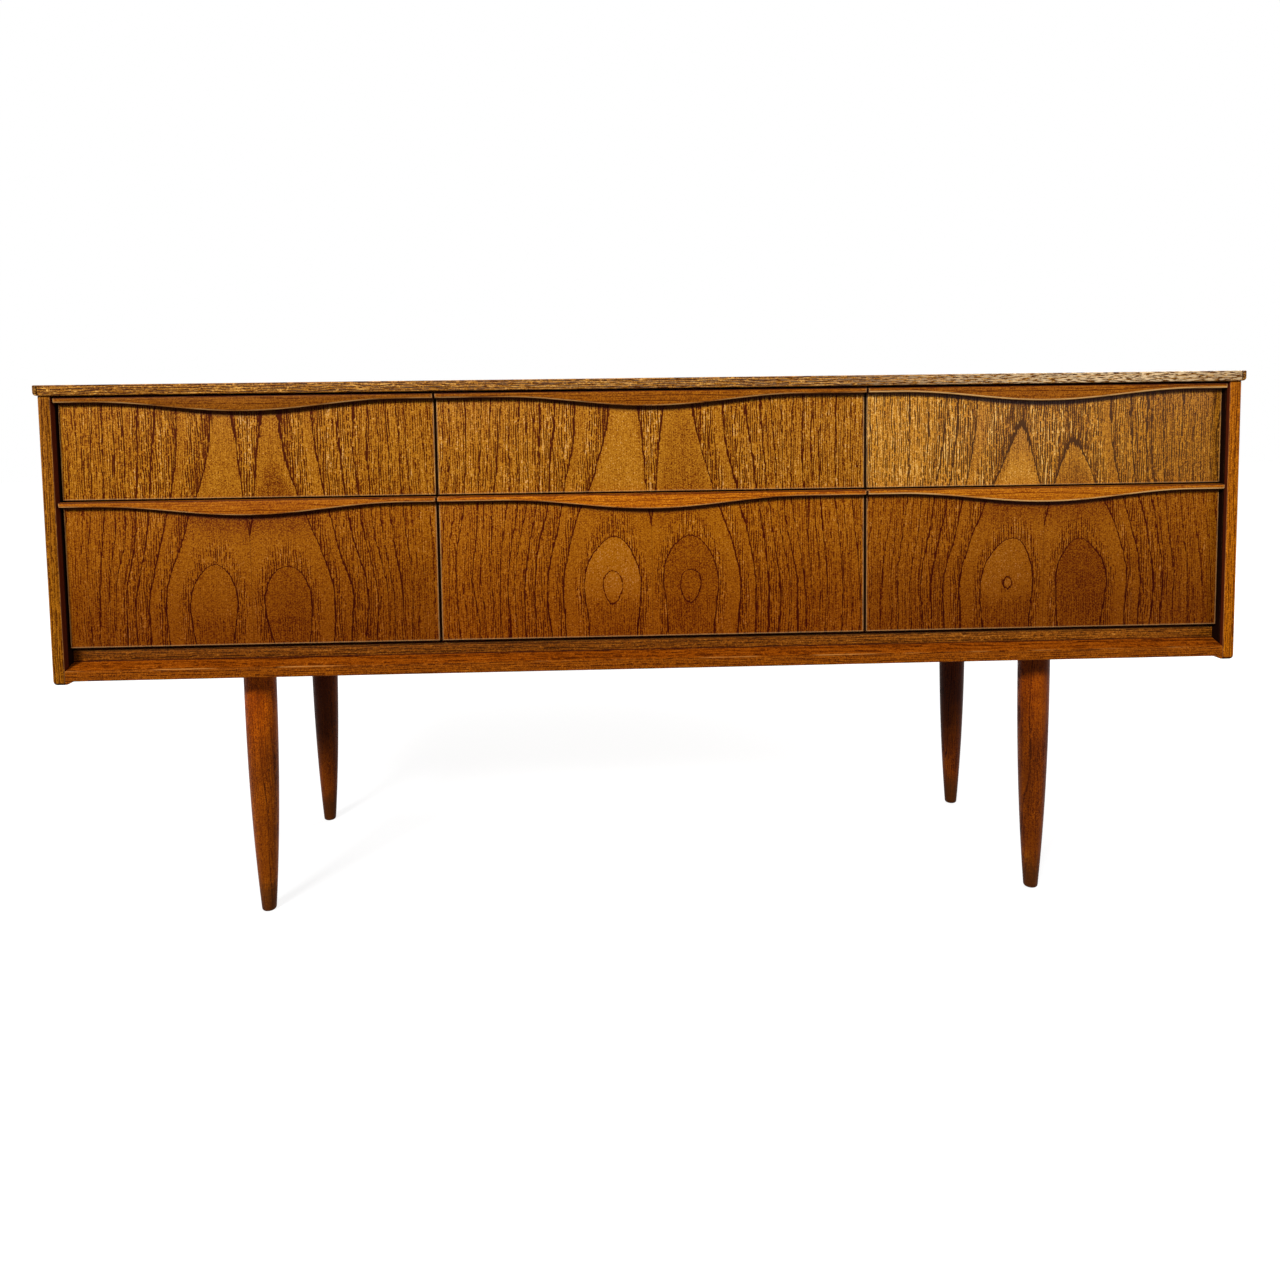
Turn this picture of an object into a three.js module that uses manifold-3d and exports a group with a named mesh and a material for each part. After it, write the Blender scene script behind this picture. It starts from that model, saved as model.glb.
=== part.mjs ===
// Low dresser: a case on four turned legs, with six drawers in three columns and two rows.
// Millimetres, +Z up, the front faces -Y. The origin is on the floor, under the middle of the top board.
import * as THREE from "three";
import { mergeVertices } from "three/addons/utils/BufferGeometryUtils.js";
import Module from "manifold-3d";

const wasm = await Module();
wasm.setup();

// Overall size, over the top board and from the floor.
const width = 1524;
const depth = 457;
const height = 711;

// Top board: it stands past the case at the front and at both ends, with its lower edges taken off.
const topThickness = 13;
const topOverhang = 4;
const topFrontChamfer = 1.5;
const topEndChamfer = 4;

// Case.
const sideThickness = 15;
const sideDrop = 4; // how far the sides reach below the bottom board
const sideFootRadius = 5;
const backThickness = 5;
const backInset = 6;
const dividerThickness = 16;
const dividerClearance = 2; // from the back of the drawer fronts to the dividers and runners
const middleColumnWidth = 548; // between the middles of the two dividers

// Bottom board, with a bevelled solid rail along its front.
const railFrontHeight = 13;
const railBevelRise = 7;
const railBevelDepth = 22;
const railDepth = 24;
const railEarLength = 11; // the rail's lower edge curves down to the sides over this length
const railEarRoot = 5; // how far the ear reaches up into the rail

// Plinth rail, which closes the space under the lower drawers, and the bearers behind it.
const plinthHeight = 15;
const plinthDepth = 20;
const sideBearerWidth = 30;
const dividerBearerWidth = 60;

// Runners of the upper drawers.
const runnerWidth = 14;
const runnerHeight = 12;

// Turned legs. The radius grows from the foot as 1 - (1 - t) ^ legTaperPower of the way up.
const legLength = 340;
const legTopDiameter = 41.6;
const legFootDiameter = 18.4;
const legTaperPower = 2.4;
const legFootRounding = 3.5;
const legEndInset = 234.5; // from the end of the top board to the leg's axis
const legFrontInset = 75; // from the front of the case to the front legs' axis
const legBackInset = 75; // from the back of the case to the back legs' axis
const tenonDiameter = 22;
const tenonLength = 14;
const legSegments = 28;
const legRings = 12;

// Drawer fronts.
const frontSetback = 12;
const frontThickness = 16;
const upperFrontHeight = 128.5;
const columnGap = 2;
const rowGap = 1.5;
const topGap = 2.5;
const plinthGap = 4.5;

// Pulls: a lip along the top of each front, thin at its ends, with a wave that hangs down in the middle.
const pullDepth = 11;
const pullEndHeight = 6.3;
const pullMiddleHeight = 19.3;
const pullWaveLength = 384;
const pullLipThickness = 5;
const hollowEndMargin = 48; // from each end of the wave to the finger hollow behind the lip
const hollowCoveRadius = 4;
const waveSteps = 40;
const coveSteps = 4;

// Drawer boxes.
const boxSideThickness = 10;
const boxBackThickness = 10;
const boxBottomThickness = 4;
const boxSideClearance = 1;
const boxRearClearance = 1.5;
const boxTopDrop = 3; // from the top of the front to the top of the box sides
const upperBoxRaise = 12; // from the bottom of an upper front to the bottom of its box
const boxBackDrop = 6; // from the top of the box sides to the top of the box back
const grooveDepth = 5;
const grooveRaise = 8; // from the bottom of the box sides to the groove

// Fits.
const runningGap = 0.3; // between a drawer and what it slides on
const grooveGap = 0.25;
const tenonGap = 0.3;

// Faces that touch are put on a grid of 1/64 mm, where 32-bit numbers are exact.
const GRID = 64;
const snap = (value) => Math.round(value * GRID) / GRID;

// Planes of the case, worked out from the sizes above.
const topEnd = snap(width / 2);
const topFront = snap(-depth / 2);
const back = snap(depth / 2);
const topUnderside = snap(height - topThickness);
const sideOuter = snap(topEnd - topOverhang);
const sideInner = snap(sideOuter - sideThickness);
const caseFront = snap(topFront + topOverhang);
const backPanelFront = snap(back - backInset - backThickness);
const bottomUnderside = snap(legLength);
const bottomTop = snap(bottomUnderside + railFrontHeight + railBevelRise);
const railBack = snap(caseFront + railDepth);
const plinthFront = snap(caseFront + railBevelDepth);
const plinthBack = snap(plinthFront + plinthDepth);
const plinthTop = snap(bottomTop + plinthHeight);
const frontFace = snap(caseFront + frontSetback);
const frontBack = snap(frontFace + frontThickness);
const boxRear = snap(backPanelFront - boxRearClearance);
const dividerFront = snap(frontBack + dividerClearance);
const slideRun = [dividerFront, backPanelFront]; // the dividers and runners, front to back
const dividerMiddle = snap(middleColumnWidth / 2);
const lowerFrontBottom = snap(plinthTop + plinthGap);
const bearerTop = snap(lowerFrontBottom - runningGap);
const upperFrontTop = snap(topUnderside - topGap);
const upperFrontBottom = snap(upperFrontTop - upperFrontHeight);
const lowerFrontTop = snap(upperFrontBottom - rowGap);
const upperBoxBottom = snap(upperFrontBottom + upperBoxRaise);
const runnerTop = snap(upperBoxBottom - runningGap);
const runnerBottom = snap(runnerTop - runnerHeight);

// Each column's clear width behind the fronts, and the two edges of its drawer fronts.
const dividerInner = snap(dividerMiddle - dividerThickness / 2);
const dividerOuter = snap(dividerMiddle + dividerThickness / 2);
const halfColumnGap = snap(columnGap / 2);
const columns = [
  {
    name: "left",
    inside: [-sideInner, -dividerOuter],
    front: [snap(columnGap - sideInner), -dividerMiddle - halfColumnGap],
  },
  {
    name: "middle",
    inside: [-dividerInner, dividerInner],
    front: [halfColumnGap - dividerMiddle, dividerMiddle - halfColumnGap],
  },
  {
    name: "right",
    inside: [dividerOuter, sideInner],
    front: [dividerMiddle + halfColumnGap, snap(sideInner - columnGap)],
  },
];

const rows = [
  { name: "upper", bottom: upperFrontBottom, top: upperFrontTop, boxBottom: upperBoxBottom },
  { name: "lower", bottom: lowerFrontBottom, top: lowerFrontTop, boxBottom: lowerFrontBottom },
];

const finishes = {
  teakVeneer: { color: 0x9a6320, roughness: 0.5, metalness: 0 },
  teakSolid: { color: 0xab6a24, roughness: 0.45, metalness: 0 },
  teakRail: { color: 0x8a4c12, roughness: 0.5, metalness: 0 },
  teakLeg: { color: 0x94561c, roughness: 0.45, metalness: 0 },
  paleHardwood: { color: 0xc79c63, roughness: 0.65, metalness: 0 },
  plywood: { color: 0xb98a52, roughness: 0.7, metalness: 0 },
};

const dresser = new THREE.Group();
dresser.name = "dresser";

// Adds a named mesh to a group and returns it, so that it can be placed.
function addPiece(group, name, geometry, finish) {
  const piece = new THREE.Mesh(geometry, new THREE.MeshStandardMaterial(finishes[finish]));
  piece.name = name;
  group.add(piece);
  return piece;
}

// A straight board between two planes on each axis.
function addBoard(group, name, [x0, x1], [y0, y1], [z0, z1], finish) {
  const geometry = new THREE.BoxGeometry(x1 - x0, y1 - y0, z1 - z0);
  const board = addPiece(group, name, geometry, finish);
  board.position.set((x0 + x1) / 2, (y0 + y1) / 2, (z0 + z1) / 2);
  return board;
}

// Extrudes an outline of [y, z] points from x0 to x1.
function prismAlongX(outline, x0, x1) {
  const shape = new THREE.Shape(outline.map(([y, z]) => new THREE.Vector2(y, z)));
  const prism = new THREE.ExtrudeGeometry(shape, { depth: x1 - x0, bevelEnabled: false });
  const turn = new THREE.Matrix4().set(0, 0, 1, x0, 1, 0, 0, 0, 0, 1, 0, 0, 0, 0, 0, 1);
  return prism.applyMatrix4(turn);
}

// Extrudes an outline of [x, z] points from y0 to y1.
function prismAlongY(outline, y0, y1) {
  const shape = new THREE.Shape(outline.map(([x, z]) => new THREE.Vector2(x, z)));
  const prism = new THREE.ExtrudeGeometry(shape, { depth: y1 - y0, bevelEnabled: false });
  const turn = new THREE.Matrix4().set(1, 0, 0, 0, 0, 0, -1, y1, 0, 1, 0, 0, 0, 0, 0, 1);
  return prism.applyMatrix4(turn);
}

// A solid for cutting and joining, from a closed geometry.
function toSolid(geometry) {
  const bare = geometry.clone();
  bare.deleteAttribute("normal");
  bare.deleteAttribute("uv");
  const merged = mergeVertices(bare);
  const mesh = new wasm.Mesh({
    numProp: 3,
    vertProperties: merged.attributes.position.array,
    triVerts: new Uint32Array(merged.index.array),
  });
  return new wasm.Manifold(mesh);
}

// A geometry from a solid that was cut or joined.
function toGeometry(solid) {
  const mesh = solid.getMesh();
  const geometry = new THREE.BufferGeometry();
  geometry.setAttribute("position", new THREE.BufferAttribute(mesh.vertProperties, mesh.numProp));
  geometry.setIndex(new THREE.BufferAttribute(mesh.triVerts, 1));
  geometry.computeVertexNormals();
  return geometry;
}

function addTopBoard() {
  const frontSection = [
    [topFront, height],
    [back, height],
    [back, topUnderside],
    [topFront + topFrontChamfer, topUnderside],
    [topFront, topUnderside + topFrontChamfer],
  ];
  const endSection = [
    [-topEnd, height],
    [topEnd, height],
    [topEnd, topUnderside + topEndChamfer],
    [topEnd - topEndChamfer, topUnderside],
    [topEndChamfer - topEnd, topUnderside],
    [-topEnd, topUnderside + topEndChamfer],
  ];
  const across = toSolid(prismAlongX(frontSection, -topEnd, topEnd));
  const fromFront = toSolid(prismAlongY(endSection, topFront, back));
  addPiece(dresser, "top_board", toGeometry(across.intersect(fromFront)), "teakVeneer");
}

// A side panel; its outer lower edge is rounded. end is -1 on the left and 1 on the right.
function addSidePanel(name, end) {
  const foot = snap(bottomUnderside - sideDrop);
  const outline = [
    [end * sideInner, foot],
    [end * sideInner, topUnderside],
    [end * sideOuter, topUnderside],
  ];
  const arcSteps = 5;
  for (let i = 0; i <= arcSteps; i += 1) {
    const angle = ((i / arcSteps) * Math.PI) / 2;
    const x = sideOuter - sideFootRadius * (1 - Math.cos(angle));
    const z = foot + sideFootRadius * (1 - Math.sin(angle));
    outline.push([end * x, z]);
  }
  addPiece(dresser, name, prismAlongY(outline, caseFront, back), "teakVeneer");
}

// The solid rail along the front of the bottom board, with a curved ear down to each side panel.
function addBottomRail() {
  const section = [
    [caseFront, bottomUnderside],
    [railBack, bottomUnderside],
    [railBack, bottomTop],
    [plinthFront, bottomTop],
    [caseFront, bottomUnderside + railFrontHeight],
  ];
  let rail = toSolid(prismAlongX(section, -sideInner, sideInner));
  const earSteps = 8;
  for (const end of [-1, 1]) {
    const ear = [[end * sideInner, bottomUnderside + railEarRoot]];
    for (let i = 0; i <= earSteps; i += 1) {
      const t = i / earSteps;
      const fall = (sideDrop * (1 + Math.cos(Math.PI * t))) / 2;
      ear.push([end * (sideInner - railEarLength * t), bottomUnderside - fall]);
    }
    ear.push([end * (sideInner - railEarLength), bottomUnderside + railEarRoot]);
    rail = rail.add(toSolid(prismAlongY(ear, caseFront, railBack)));
  }
  addPiece(dresser, "bottom_front_rail", toGeometry(rail), "teakRail");
}

const legPlaces = [
  ["front_left_leg", -(topEnd - legEndInset), caseFront + legFrontInset],
  ["front_right_leg", topEnd - legEndInset, caseFront + legFrontInset],
  ["back_left_leg", -(topEnd - legEndInset), back - legBackInset],
  ["back_right_leg", topEnd - legEndInset, back - legBackInset],
];

// The bottom board, with a blind hole for the tenon of each leg.
function addBottomBoard() {
  const run = backPanelFront - railBack;
  const board = new THREE.BoxGeometry(2 * sideInner, run, bottomTop - bottomUnderside);
  board.translate(0, railBack + run / 2, (bottomTop + bottomUnderside) / 2);
  let solid = toSolid(board);
  const radius = tenonDiameter / 2 + tenonGap;
  const holeDepth = tenonLength + tenonGap;
  for (const [, x, y] of legPlaces) {
    const drill = new THREE.CylinderGeometry(radius, radius, 2 * holeDepth, legSegments);
    drill.rotateX(Math.PI / 2);
    drill.translate(x, y, bottomUnderside);
    solid = solid.subtract(toSolid(drill));
  }
  addPiece(dresser, "bottom_board", toGeometry(solid), "teakVeneer");
}

// A turned leg: rounded foot, taper that swells towards the top, and a tenon above the shoulder.
function legGeometry() {
  const footRadius = legFootDiameter / 2;
  const topRadius = legTopDiameter / 2;
  const radiusAt = (z) => {
    const left = 1 - z / legLength;
    return footRadius + (topRadius - footRadius) * (1 - left ** legTaperPower);
  };
  const profile = [new THREE.Vector2(0, 0)];
  const roundSteps = 4;
  for (let i = 0; i <= roundSteps; i += 1) {
    const angle = ((i / roundSteps) * Math.PI) / 2;
    const z = legFootRounding * (1 - Math.cos(angle));
    profile.push(new THREE.Vector2(radiusAt(z) - legFootRounding * (1 - Math.sin(angle)), z));
  }
  for (let i = 1; i <= legRings; i += 1) {
    const z = legFootRounding + ((bottomUnderside - legFootRounding) * i) / legRings;
    profile.push(new THREE.Vector2(radiusAt(z), z));
  }
  profile.push(new THREE.Vector2(tenonDiameter / 2, bottomUnderside));
  profile.push(new THREE.Vector2(tenonDiameter / 2, bottomUnderside + tenonLength));
  profile.push(new THREE.Vector2(0, bottomUnderside + tenonLength));
  const leg = new THREE.LatheGeometry(profile, legSegments);
  const upright = new THREE.Matrix4().set(1, 0, 0, 0, 0, 0, -1, 0, 0, 1, 0, 0, 0, 0, 0, 1);
  return leg.applyMatrix4(upright);
}

function addLegs() {
  for (const [name, x, y] of legPlaces) {
    addPiece(dresser, name, legGeometry(), "teakLeg").position.set(x, y, 0);
  }
}

// Plinth rail, back panel, and on each half of the case a divider with the bearers beside it.
function addCaseInside() {
  const inside = [-sideInner, sideInner];
  addBoard(dresser, "plinth_rail", inside, [plinthFront, plinthBack], [bottomTop, plinthTop], "teakRail");
  const backLevels = [bottomUnderside, topUnderside];
  addBoard(dresser, "back_panel", inside, [backPanelFront, back - backInset], backLevels, "plywood");
  const bearerRun = [plinthBack, backPanelFront];
  const bearerLevels = [bottomTop, bearerTop];
  const dividerLevels = [bearerTop, topUnderside];
  for (const [side, end] of [["left", -1], ["right", 1]]) {
    const between = (near, far) => [end * near, end * far].sort((a, b) => a - b);
    const divider = between(dividerInner, dividerOuter);
    const halfBearer = dividerBearerWidth / 2;
    const dividerBearer = between(snap(dividerMiddle - halfBearer), snap(dividerMiddle + halfBearer));
    const sideBearer = between(snap(sideInner - sideBearerWidth), sideInner);
    addBoard(dresser, `${side}_divider`, divider, slideRun, dividerLevels, "paleHardwood");
    addBoard(dresser, `${side}_divider_bearer`, dividerBearer, bearerRun, bearerLevels, "paleHardwood");
    addBoard(dresser, `${side}_side_bearer`, sideBearer, bearerRun, bearerLevels, "paleHardwood");
  }
}

// Two runners in each column carry the upper drawer.
function addRunners() {
  const levels = [runnerBottom, runnerTop];
  for (const column of columns) {
    const [x0, x1] = column.inside;
    const left = [x0, x0 + runnerWidth];
    const right = [x1 - runnerWidth, x1];
    addBoard(dresser, `${column.name}_column_left_runner`, left, slideRun, levels, "paleHardwood");
    addBoard(dresser, `${column.name}_column_right_runner`, right, slideRun, levels, "paleHardwood");
  }
}

// The pull: its lower edge hangs from the end height to the middle height as half a cosine wave.
// A finger hollow with a round cove is cut behind the lip.
function pullGeometry(halfWidth, middle, top, faceY) {
  const halfWave = Math.min(pullWaveLength / 2, halfWidth);
  const outline = [
    [middle - halfWidth, top],
    [middle - halfWidth, top - pullEndHeight],
  ];
  for (let i = 0; i <= waveSteps; i += 1) {
    const t = (2 * i) / waveSteps - 1;
    const hang = ((pullMiddleHeight - pullEndHeight) * (1 + Math.cos(Math.PI * t))) / 2;
    outline.push([middle + halfWave * t, top - pullEndHeight - hang]);
  }
  outline.push([middle + halfWidth, top - pullEndHeight]);
  outline.push([middle + halfWidth, top]);
  const lip = toSolid(prismAlongY(outline, faceY, faceY + pullDepth));

  const hollowFront = faceY + pullLipThickness;
  const hollowTop = top - pullEndHeight;
  const past = 1; // the cutter runs past the lip's back and lower faces by this much
  const section = [
    [faceY + pullDepth + past, top - pullMiddleHeight - past],
    [faceY + pullDepth + past, hollowTop],
  ];
  for (let i = 0; i <= coveSteps; i += 1) {
    const angle = ((i / coveSteps) * Math.PI) / 2;
    section.push([
      hollowFront + hollowCoveRadius * (1 - Math.sin(angle)),
      hollowTop - hollowCoveRadius * (1 - Math.cos(angle)),
    ]);
  }
  section.push([hollowFront, top - pullMiddleHeight - past]);
  const halfHollow = halfWave - hollowEndMargin;
  const cutter = toSolid(prismAlongX(section, middle - halfHollow, middle + halfHollow));
  return toGeometry(lip.subtract(cutter));
}

// A drawer side, with the groove that holds the bottom in its inner face.
// inward is 1 where the inside of the drawer lies towards +X.
function boxSideGeometry(outerX, inward, bottom, top) {
  const innerX = snap(outerX + inward * boxSideThickness);
  const grooveX = snap(innerX - inward * grooveDepth);
  const grooveBottom = snap(bottom + grooveRaise);
  const grooveTop = snap(grooveBottom + boxBottomThickness + grooveGap);
  const outline = [
    [outerX, bottom],
    [innerX, bottom],
    [innerX, grooveBottom],
    [grooveX, grooveBottom],
    [grooveX, grooveTop],
    [innerX, grooveTop],
    [innerX, top],
    [outerX, top],
  ];
  return prismAlongY(outline, frontBack, boxRear);
}

// A drawer: front, pull, two grooved sides, a bottom held in the grooves, and a back that stands on it.
function addDrawer(column, row) {
  const drawer = new THREE.Group();
  drawer.name = `${row.name}_${column.name}_drawer`;
  dresser.add(drawer);
  const name = (piece) => `${drawer.name}_${piece}`;

  const [x0, x1] = column.front;
  const frontRun = [frontFace, frontBack];
  addBoard(drawer, name("front"), column.front, frontRun, [row.bottom, row.top], "teakVeneer");
  const pull = pullGeometry((x1 - x0) / 2, (x0 + x1) / 2, row.top, frontFace - pullDepth);
  addPiece(drawer, name("pull"), pull, "teakSolid");

  const boxTop = snap(row.top - boxTopDrop);
  const leftOuter = snap(column.inside[0] + boxSideClearance);
  const rightOuter = snap(column.inside[1] - boxSideClearance);
  const leftSide = boxSideGeometry(leftOuter, 1, row.boxBottom, boxTop);
  const rightSide = boxSideGeometry(rightOuter, -1, row.boxBottom, boxTop);
  addPiece(drawer, name("left_side"), leftSide, "paleHardwood");
  addPiece(drawer, name("right_side"), rightSide, "paleHardwood");

  const leftInner = snap(leftOuter + boxSideThickness);
  const rightInner = snap(rightOuter - boxSideThickness);
  const reach = snap(grooveDepth - grooveGap);
  const floor = snap(row.boxBottom + grooveRaise);
  const floorTop = snap(floor + boxBottomThickness);
  const floorWidth = [leftInner - reach, rightInner + reach];
  addBoard(drawer, name("bottom"), floorWidth, [frontBack, boxRear], [floor, floorTop], "plywood");
  const backRun = [snap(boxRear - boxBackThickness), boxRear];
  const backLevels = [floorTop, snap(boxTop - boxBackDrop)];
  addBoard(drawer, name("back"), [leftInner, rightInner], backRun, backLevels, "paleHardwood");
}

addTopBoard();
addSidePanel("left_side_panel", -1);
addSidePanel("right_side_panel", 1);
addBottomRail();
addBottomBoard();
addLegs();
addCaseInside();
addRunners();
for (const row of rows) {
  for (const column of columns) {
    addDrawer(column, row);
  }
}

export default dresser;
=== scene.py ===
"""Low teak dresser with six drawers: the looks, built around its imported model.

Lengths are in millimetres until a mesh is made; the floor, the lamps and the camera are in
metres. The front faces -Y, and the floor is Z = 0.
"""

import math
from collections import namedtuple
from functools import reduce

import bpy
import numpy as np
from mathutils import Matrix, Vector


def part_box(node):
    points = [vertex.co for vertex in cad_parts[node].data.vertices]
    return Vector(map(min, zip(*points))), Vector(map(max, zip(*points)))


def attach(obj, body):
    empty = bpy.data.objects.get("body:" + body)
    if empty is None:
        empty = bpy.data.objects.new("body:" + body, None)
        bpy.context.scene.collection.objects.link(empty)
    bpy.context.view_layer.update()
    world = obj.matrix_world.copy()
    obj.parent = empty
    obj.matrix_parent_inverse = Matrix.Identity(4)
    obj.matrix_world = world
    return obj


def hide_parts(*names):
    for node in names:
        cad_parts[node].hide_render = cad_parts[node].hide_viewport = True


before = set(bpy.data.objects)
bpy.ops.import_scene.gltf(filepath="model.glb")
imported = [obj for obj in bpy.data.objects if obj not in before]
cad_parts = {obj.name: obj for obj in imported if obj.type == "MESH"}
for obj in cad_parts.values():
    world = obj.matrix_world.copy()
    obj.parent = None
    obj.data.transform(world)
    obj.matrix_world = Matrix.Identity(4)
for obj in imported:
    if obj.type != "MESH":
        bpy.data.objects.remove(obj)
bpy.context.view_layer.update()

MM = 0.001
COLUMNS = ("left", "middle", "right")
ROWS = ("upper", "lower")
SIDES = {"left": -1, "right": 1}


def node_box(node):
    """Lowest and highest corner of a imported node, in millimetres."""
    low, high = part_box(node)
    return np.array(low) / MM, np.array(high) / MM


# The bottom rail: how far its ears fall to the sides, their length, and its front's height.
SIDE_DROP, EAR_LENGTH, RAIL_FRONT = 4.0, 11.0, 13.0
rail_low, rail_high = node_box("bottom_front_rail")
ARRIS_HEIGHT = rail_low[2] + SIDE_DROP + RAIL_FRONT

# A pull's height at its ends and middle, and half the length of its wave.
PULL_END, PULL_MIDDLE, HALF_WAVE = 6.3, 19.3, 192.0


# ---------------------------------------------------------------- surfaces


def rectangle(u0, v0, u1, v1):
    """Corners of a rectangle, from one corner to the opposite one."""
    return [(u0, v0), (u1, v0), (u1, v1), (u0, v1)]


def round_outline(corners, radii, steps=4):
    """Outline whose corners are arcs, with the outward normal at each point.

    With unit normals n1 and n2 of the two sides at a corner c and a radius r, the arc's
    middle is c - r (n1 + n2) / (1 + n1.n2). The normal turns evenly from n1 to n2, and a
    point is the middle plus r times that normal. A hollow corner takes -r.
    """
    corners = np.asarray(corners, float)
    radii = np.broadcast_to(np.asarray(radii, float), len(corners))
    following = np.roll(corners, -1, axis=0)
    if np.sum(corners[:, 0] * following[:, 1] - corners[:, 1] * following[:, 0]) < 0:
        return round_outline(corners[::-1], radii[::-1], steps)
    sides = following - corners
    out = np.stack([sides[:, 1], -sides[:, 0]], 1)
    after = out / np.linalg.norm(out, axis=1, keepdims=True)
    before = np.roll(after, 1, axis=0)
    cosine = np.clip(np.sum(before * after, 1), -1, 1)
    turn = before[:, 0] * after[:, 1] - before[:, 1] * after[:, 0]
    reach = (radii * np.sign(turn))[:, None, None]
    angle = np.arccos(cosine)[:, None, None]
    t = np.linspace(0, 1, steps + 1)[None, :, None]
    turned = np.sin((1 - t) * angle) * before[:, None] + np.sin(t * angle) * after[:, None]
    normals = turned / np.sin(angle)
    middle = corners[:, None] - reach * ((before + after) / (1 + cosine)[:, None])[:, None]
    return (middle + reach * normals).reshape(-1, 2), normals.reshape(-1, 2)


def skin(sections):
    """Vertices and faces of sections (stations, points, 3), joined along and closed at both ends."""
    stations, points = sections.shape[:2]
    index = np.arange(stations * points).reshape(stations, points)
    beside = np.roll(index, -1, axis=1)
    quads = np.stack([index[:-1], beside[:-1], beside[1:], index[1:]], -1).reshape(-1, 4)
    faces = quads.tolist() + [index[0][::-1].tolist(), index[-1].tolist()]
    return sections.reshape(-1, 3), faces


def join(*parts):
    """One vertex and face list from several."""
    vertices, faces, count = [], [], 0
    for part_vertices, part_faces in parts:
        vertices.append(part_vertices)
        faces += [[i + count for i in face] for face in part_faces]
        count += len(part_vertices)
    return np.concatenate(vertices), faces


def quarter_stations(start, end, ease, steps=4):
    """Places along a run, and how far the section draws in at each, for a quarter circle at both ends.

    With t from 0 to pi / 2, a place is ease (1 - cos t) from the end and drawn in by ease (1 - sin t).
    """
    t = np.linspace(0, math.pi / 2, steps + 1)
    along = ease * (1 - np.cos(t))
    inset = ease * (1 - np.sin(t))
    return np.concatenate([start + along, end - along[::-1]]), np.concatenate([inset, inset[::-1]])


def place(flat, runs, axis):
    """Sections in space from flat points (stations, points, 2) and their places along the axis."""
    along = np.broadcast_to(runs[:, None], flat.shape[:2])
    u, v = flat[..., 0], flat[..., 1]
    order = {"X": (along, u, v), "Y": (u, along, v), "Z": (u, v, along)}[axis]
    sections = np.stack(order, -1)
    return sections[::-1] if axis == "Y" else sections


def prism(outline, radii, axis, start, end, ease=0.8, steps=3):
    """An outline with rounded corners carried along an axis, with its two end edges rounded as well."""
    points, normals = round_outline(outline, radii, steps)
    runs, inset = quarter_stations(start, end, ease, steps)
    flat = points[None] - inset[:, None, None] * normals[None]
    return skin(place(flat, runs, axis))


def board(low, high, along="X", radius=0.8, ease=0.6):
    """A straight board with every edge eased: a rounded rectangle carried along the grain."""
    k = "XYZ".index(along)
    u, v = [i for i in range(3) if i != k]
    outline = rectangle(low[u], low[v], high[u], high[v])
    return prism(outline, radius, along, low[k], high[k], ease)


def put(name, data):
    """A new object in the scene."""
    thing = bpy.data.objects.new(name, data)
    bpy.context.scene.collection.objects.link(thing)
    return thing


def make(name, shape, material, body, slot, stands_for=(), sharp=32):
    """A smooth-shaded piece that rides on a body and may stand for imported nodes."""
    vertices, faces = shape
    mesh = bpy.data.meshes.new(name)
    mesh.from_pydata((np.asarray(vertices) * MM).tolist(), [], faces)
    mesh.validate()
    mesh.shade_smooth()
    mesh.set_sharp_from_angle(angle=math.radians(sharp))
    mesh.materials.append(material)
    piece = put(name, mesh)
    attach(piece, body)
    if stands_for:
        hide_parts(*stands_for)


# ---------------------------------------------------------------- finishes


def paint(red, green, blue):
    """Linear colour from the 0 to 255 values of a paint chip."""
    chip = np.array([red, green, blue]) / 255
    linear = np.where(chip <= 0.04045, chip / 12.92, ((chip + 0.055) / 1.055) ** 2.4)
    return (*linear.tolist(), 1)


MIDDLE_STRIP = 60.0  # half the width over which the left half's finish turns to the right half's


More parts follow.
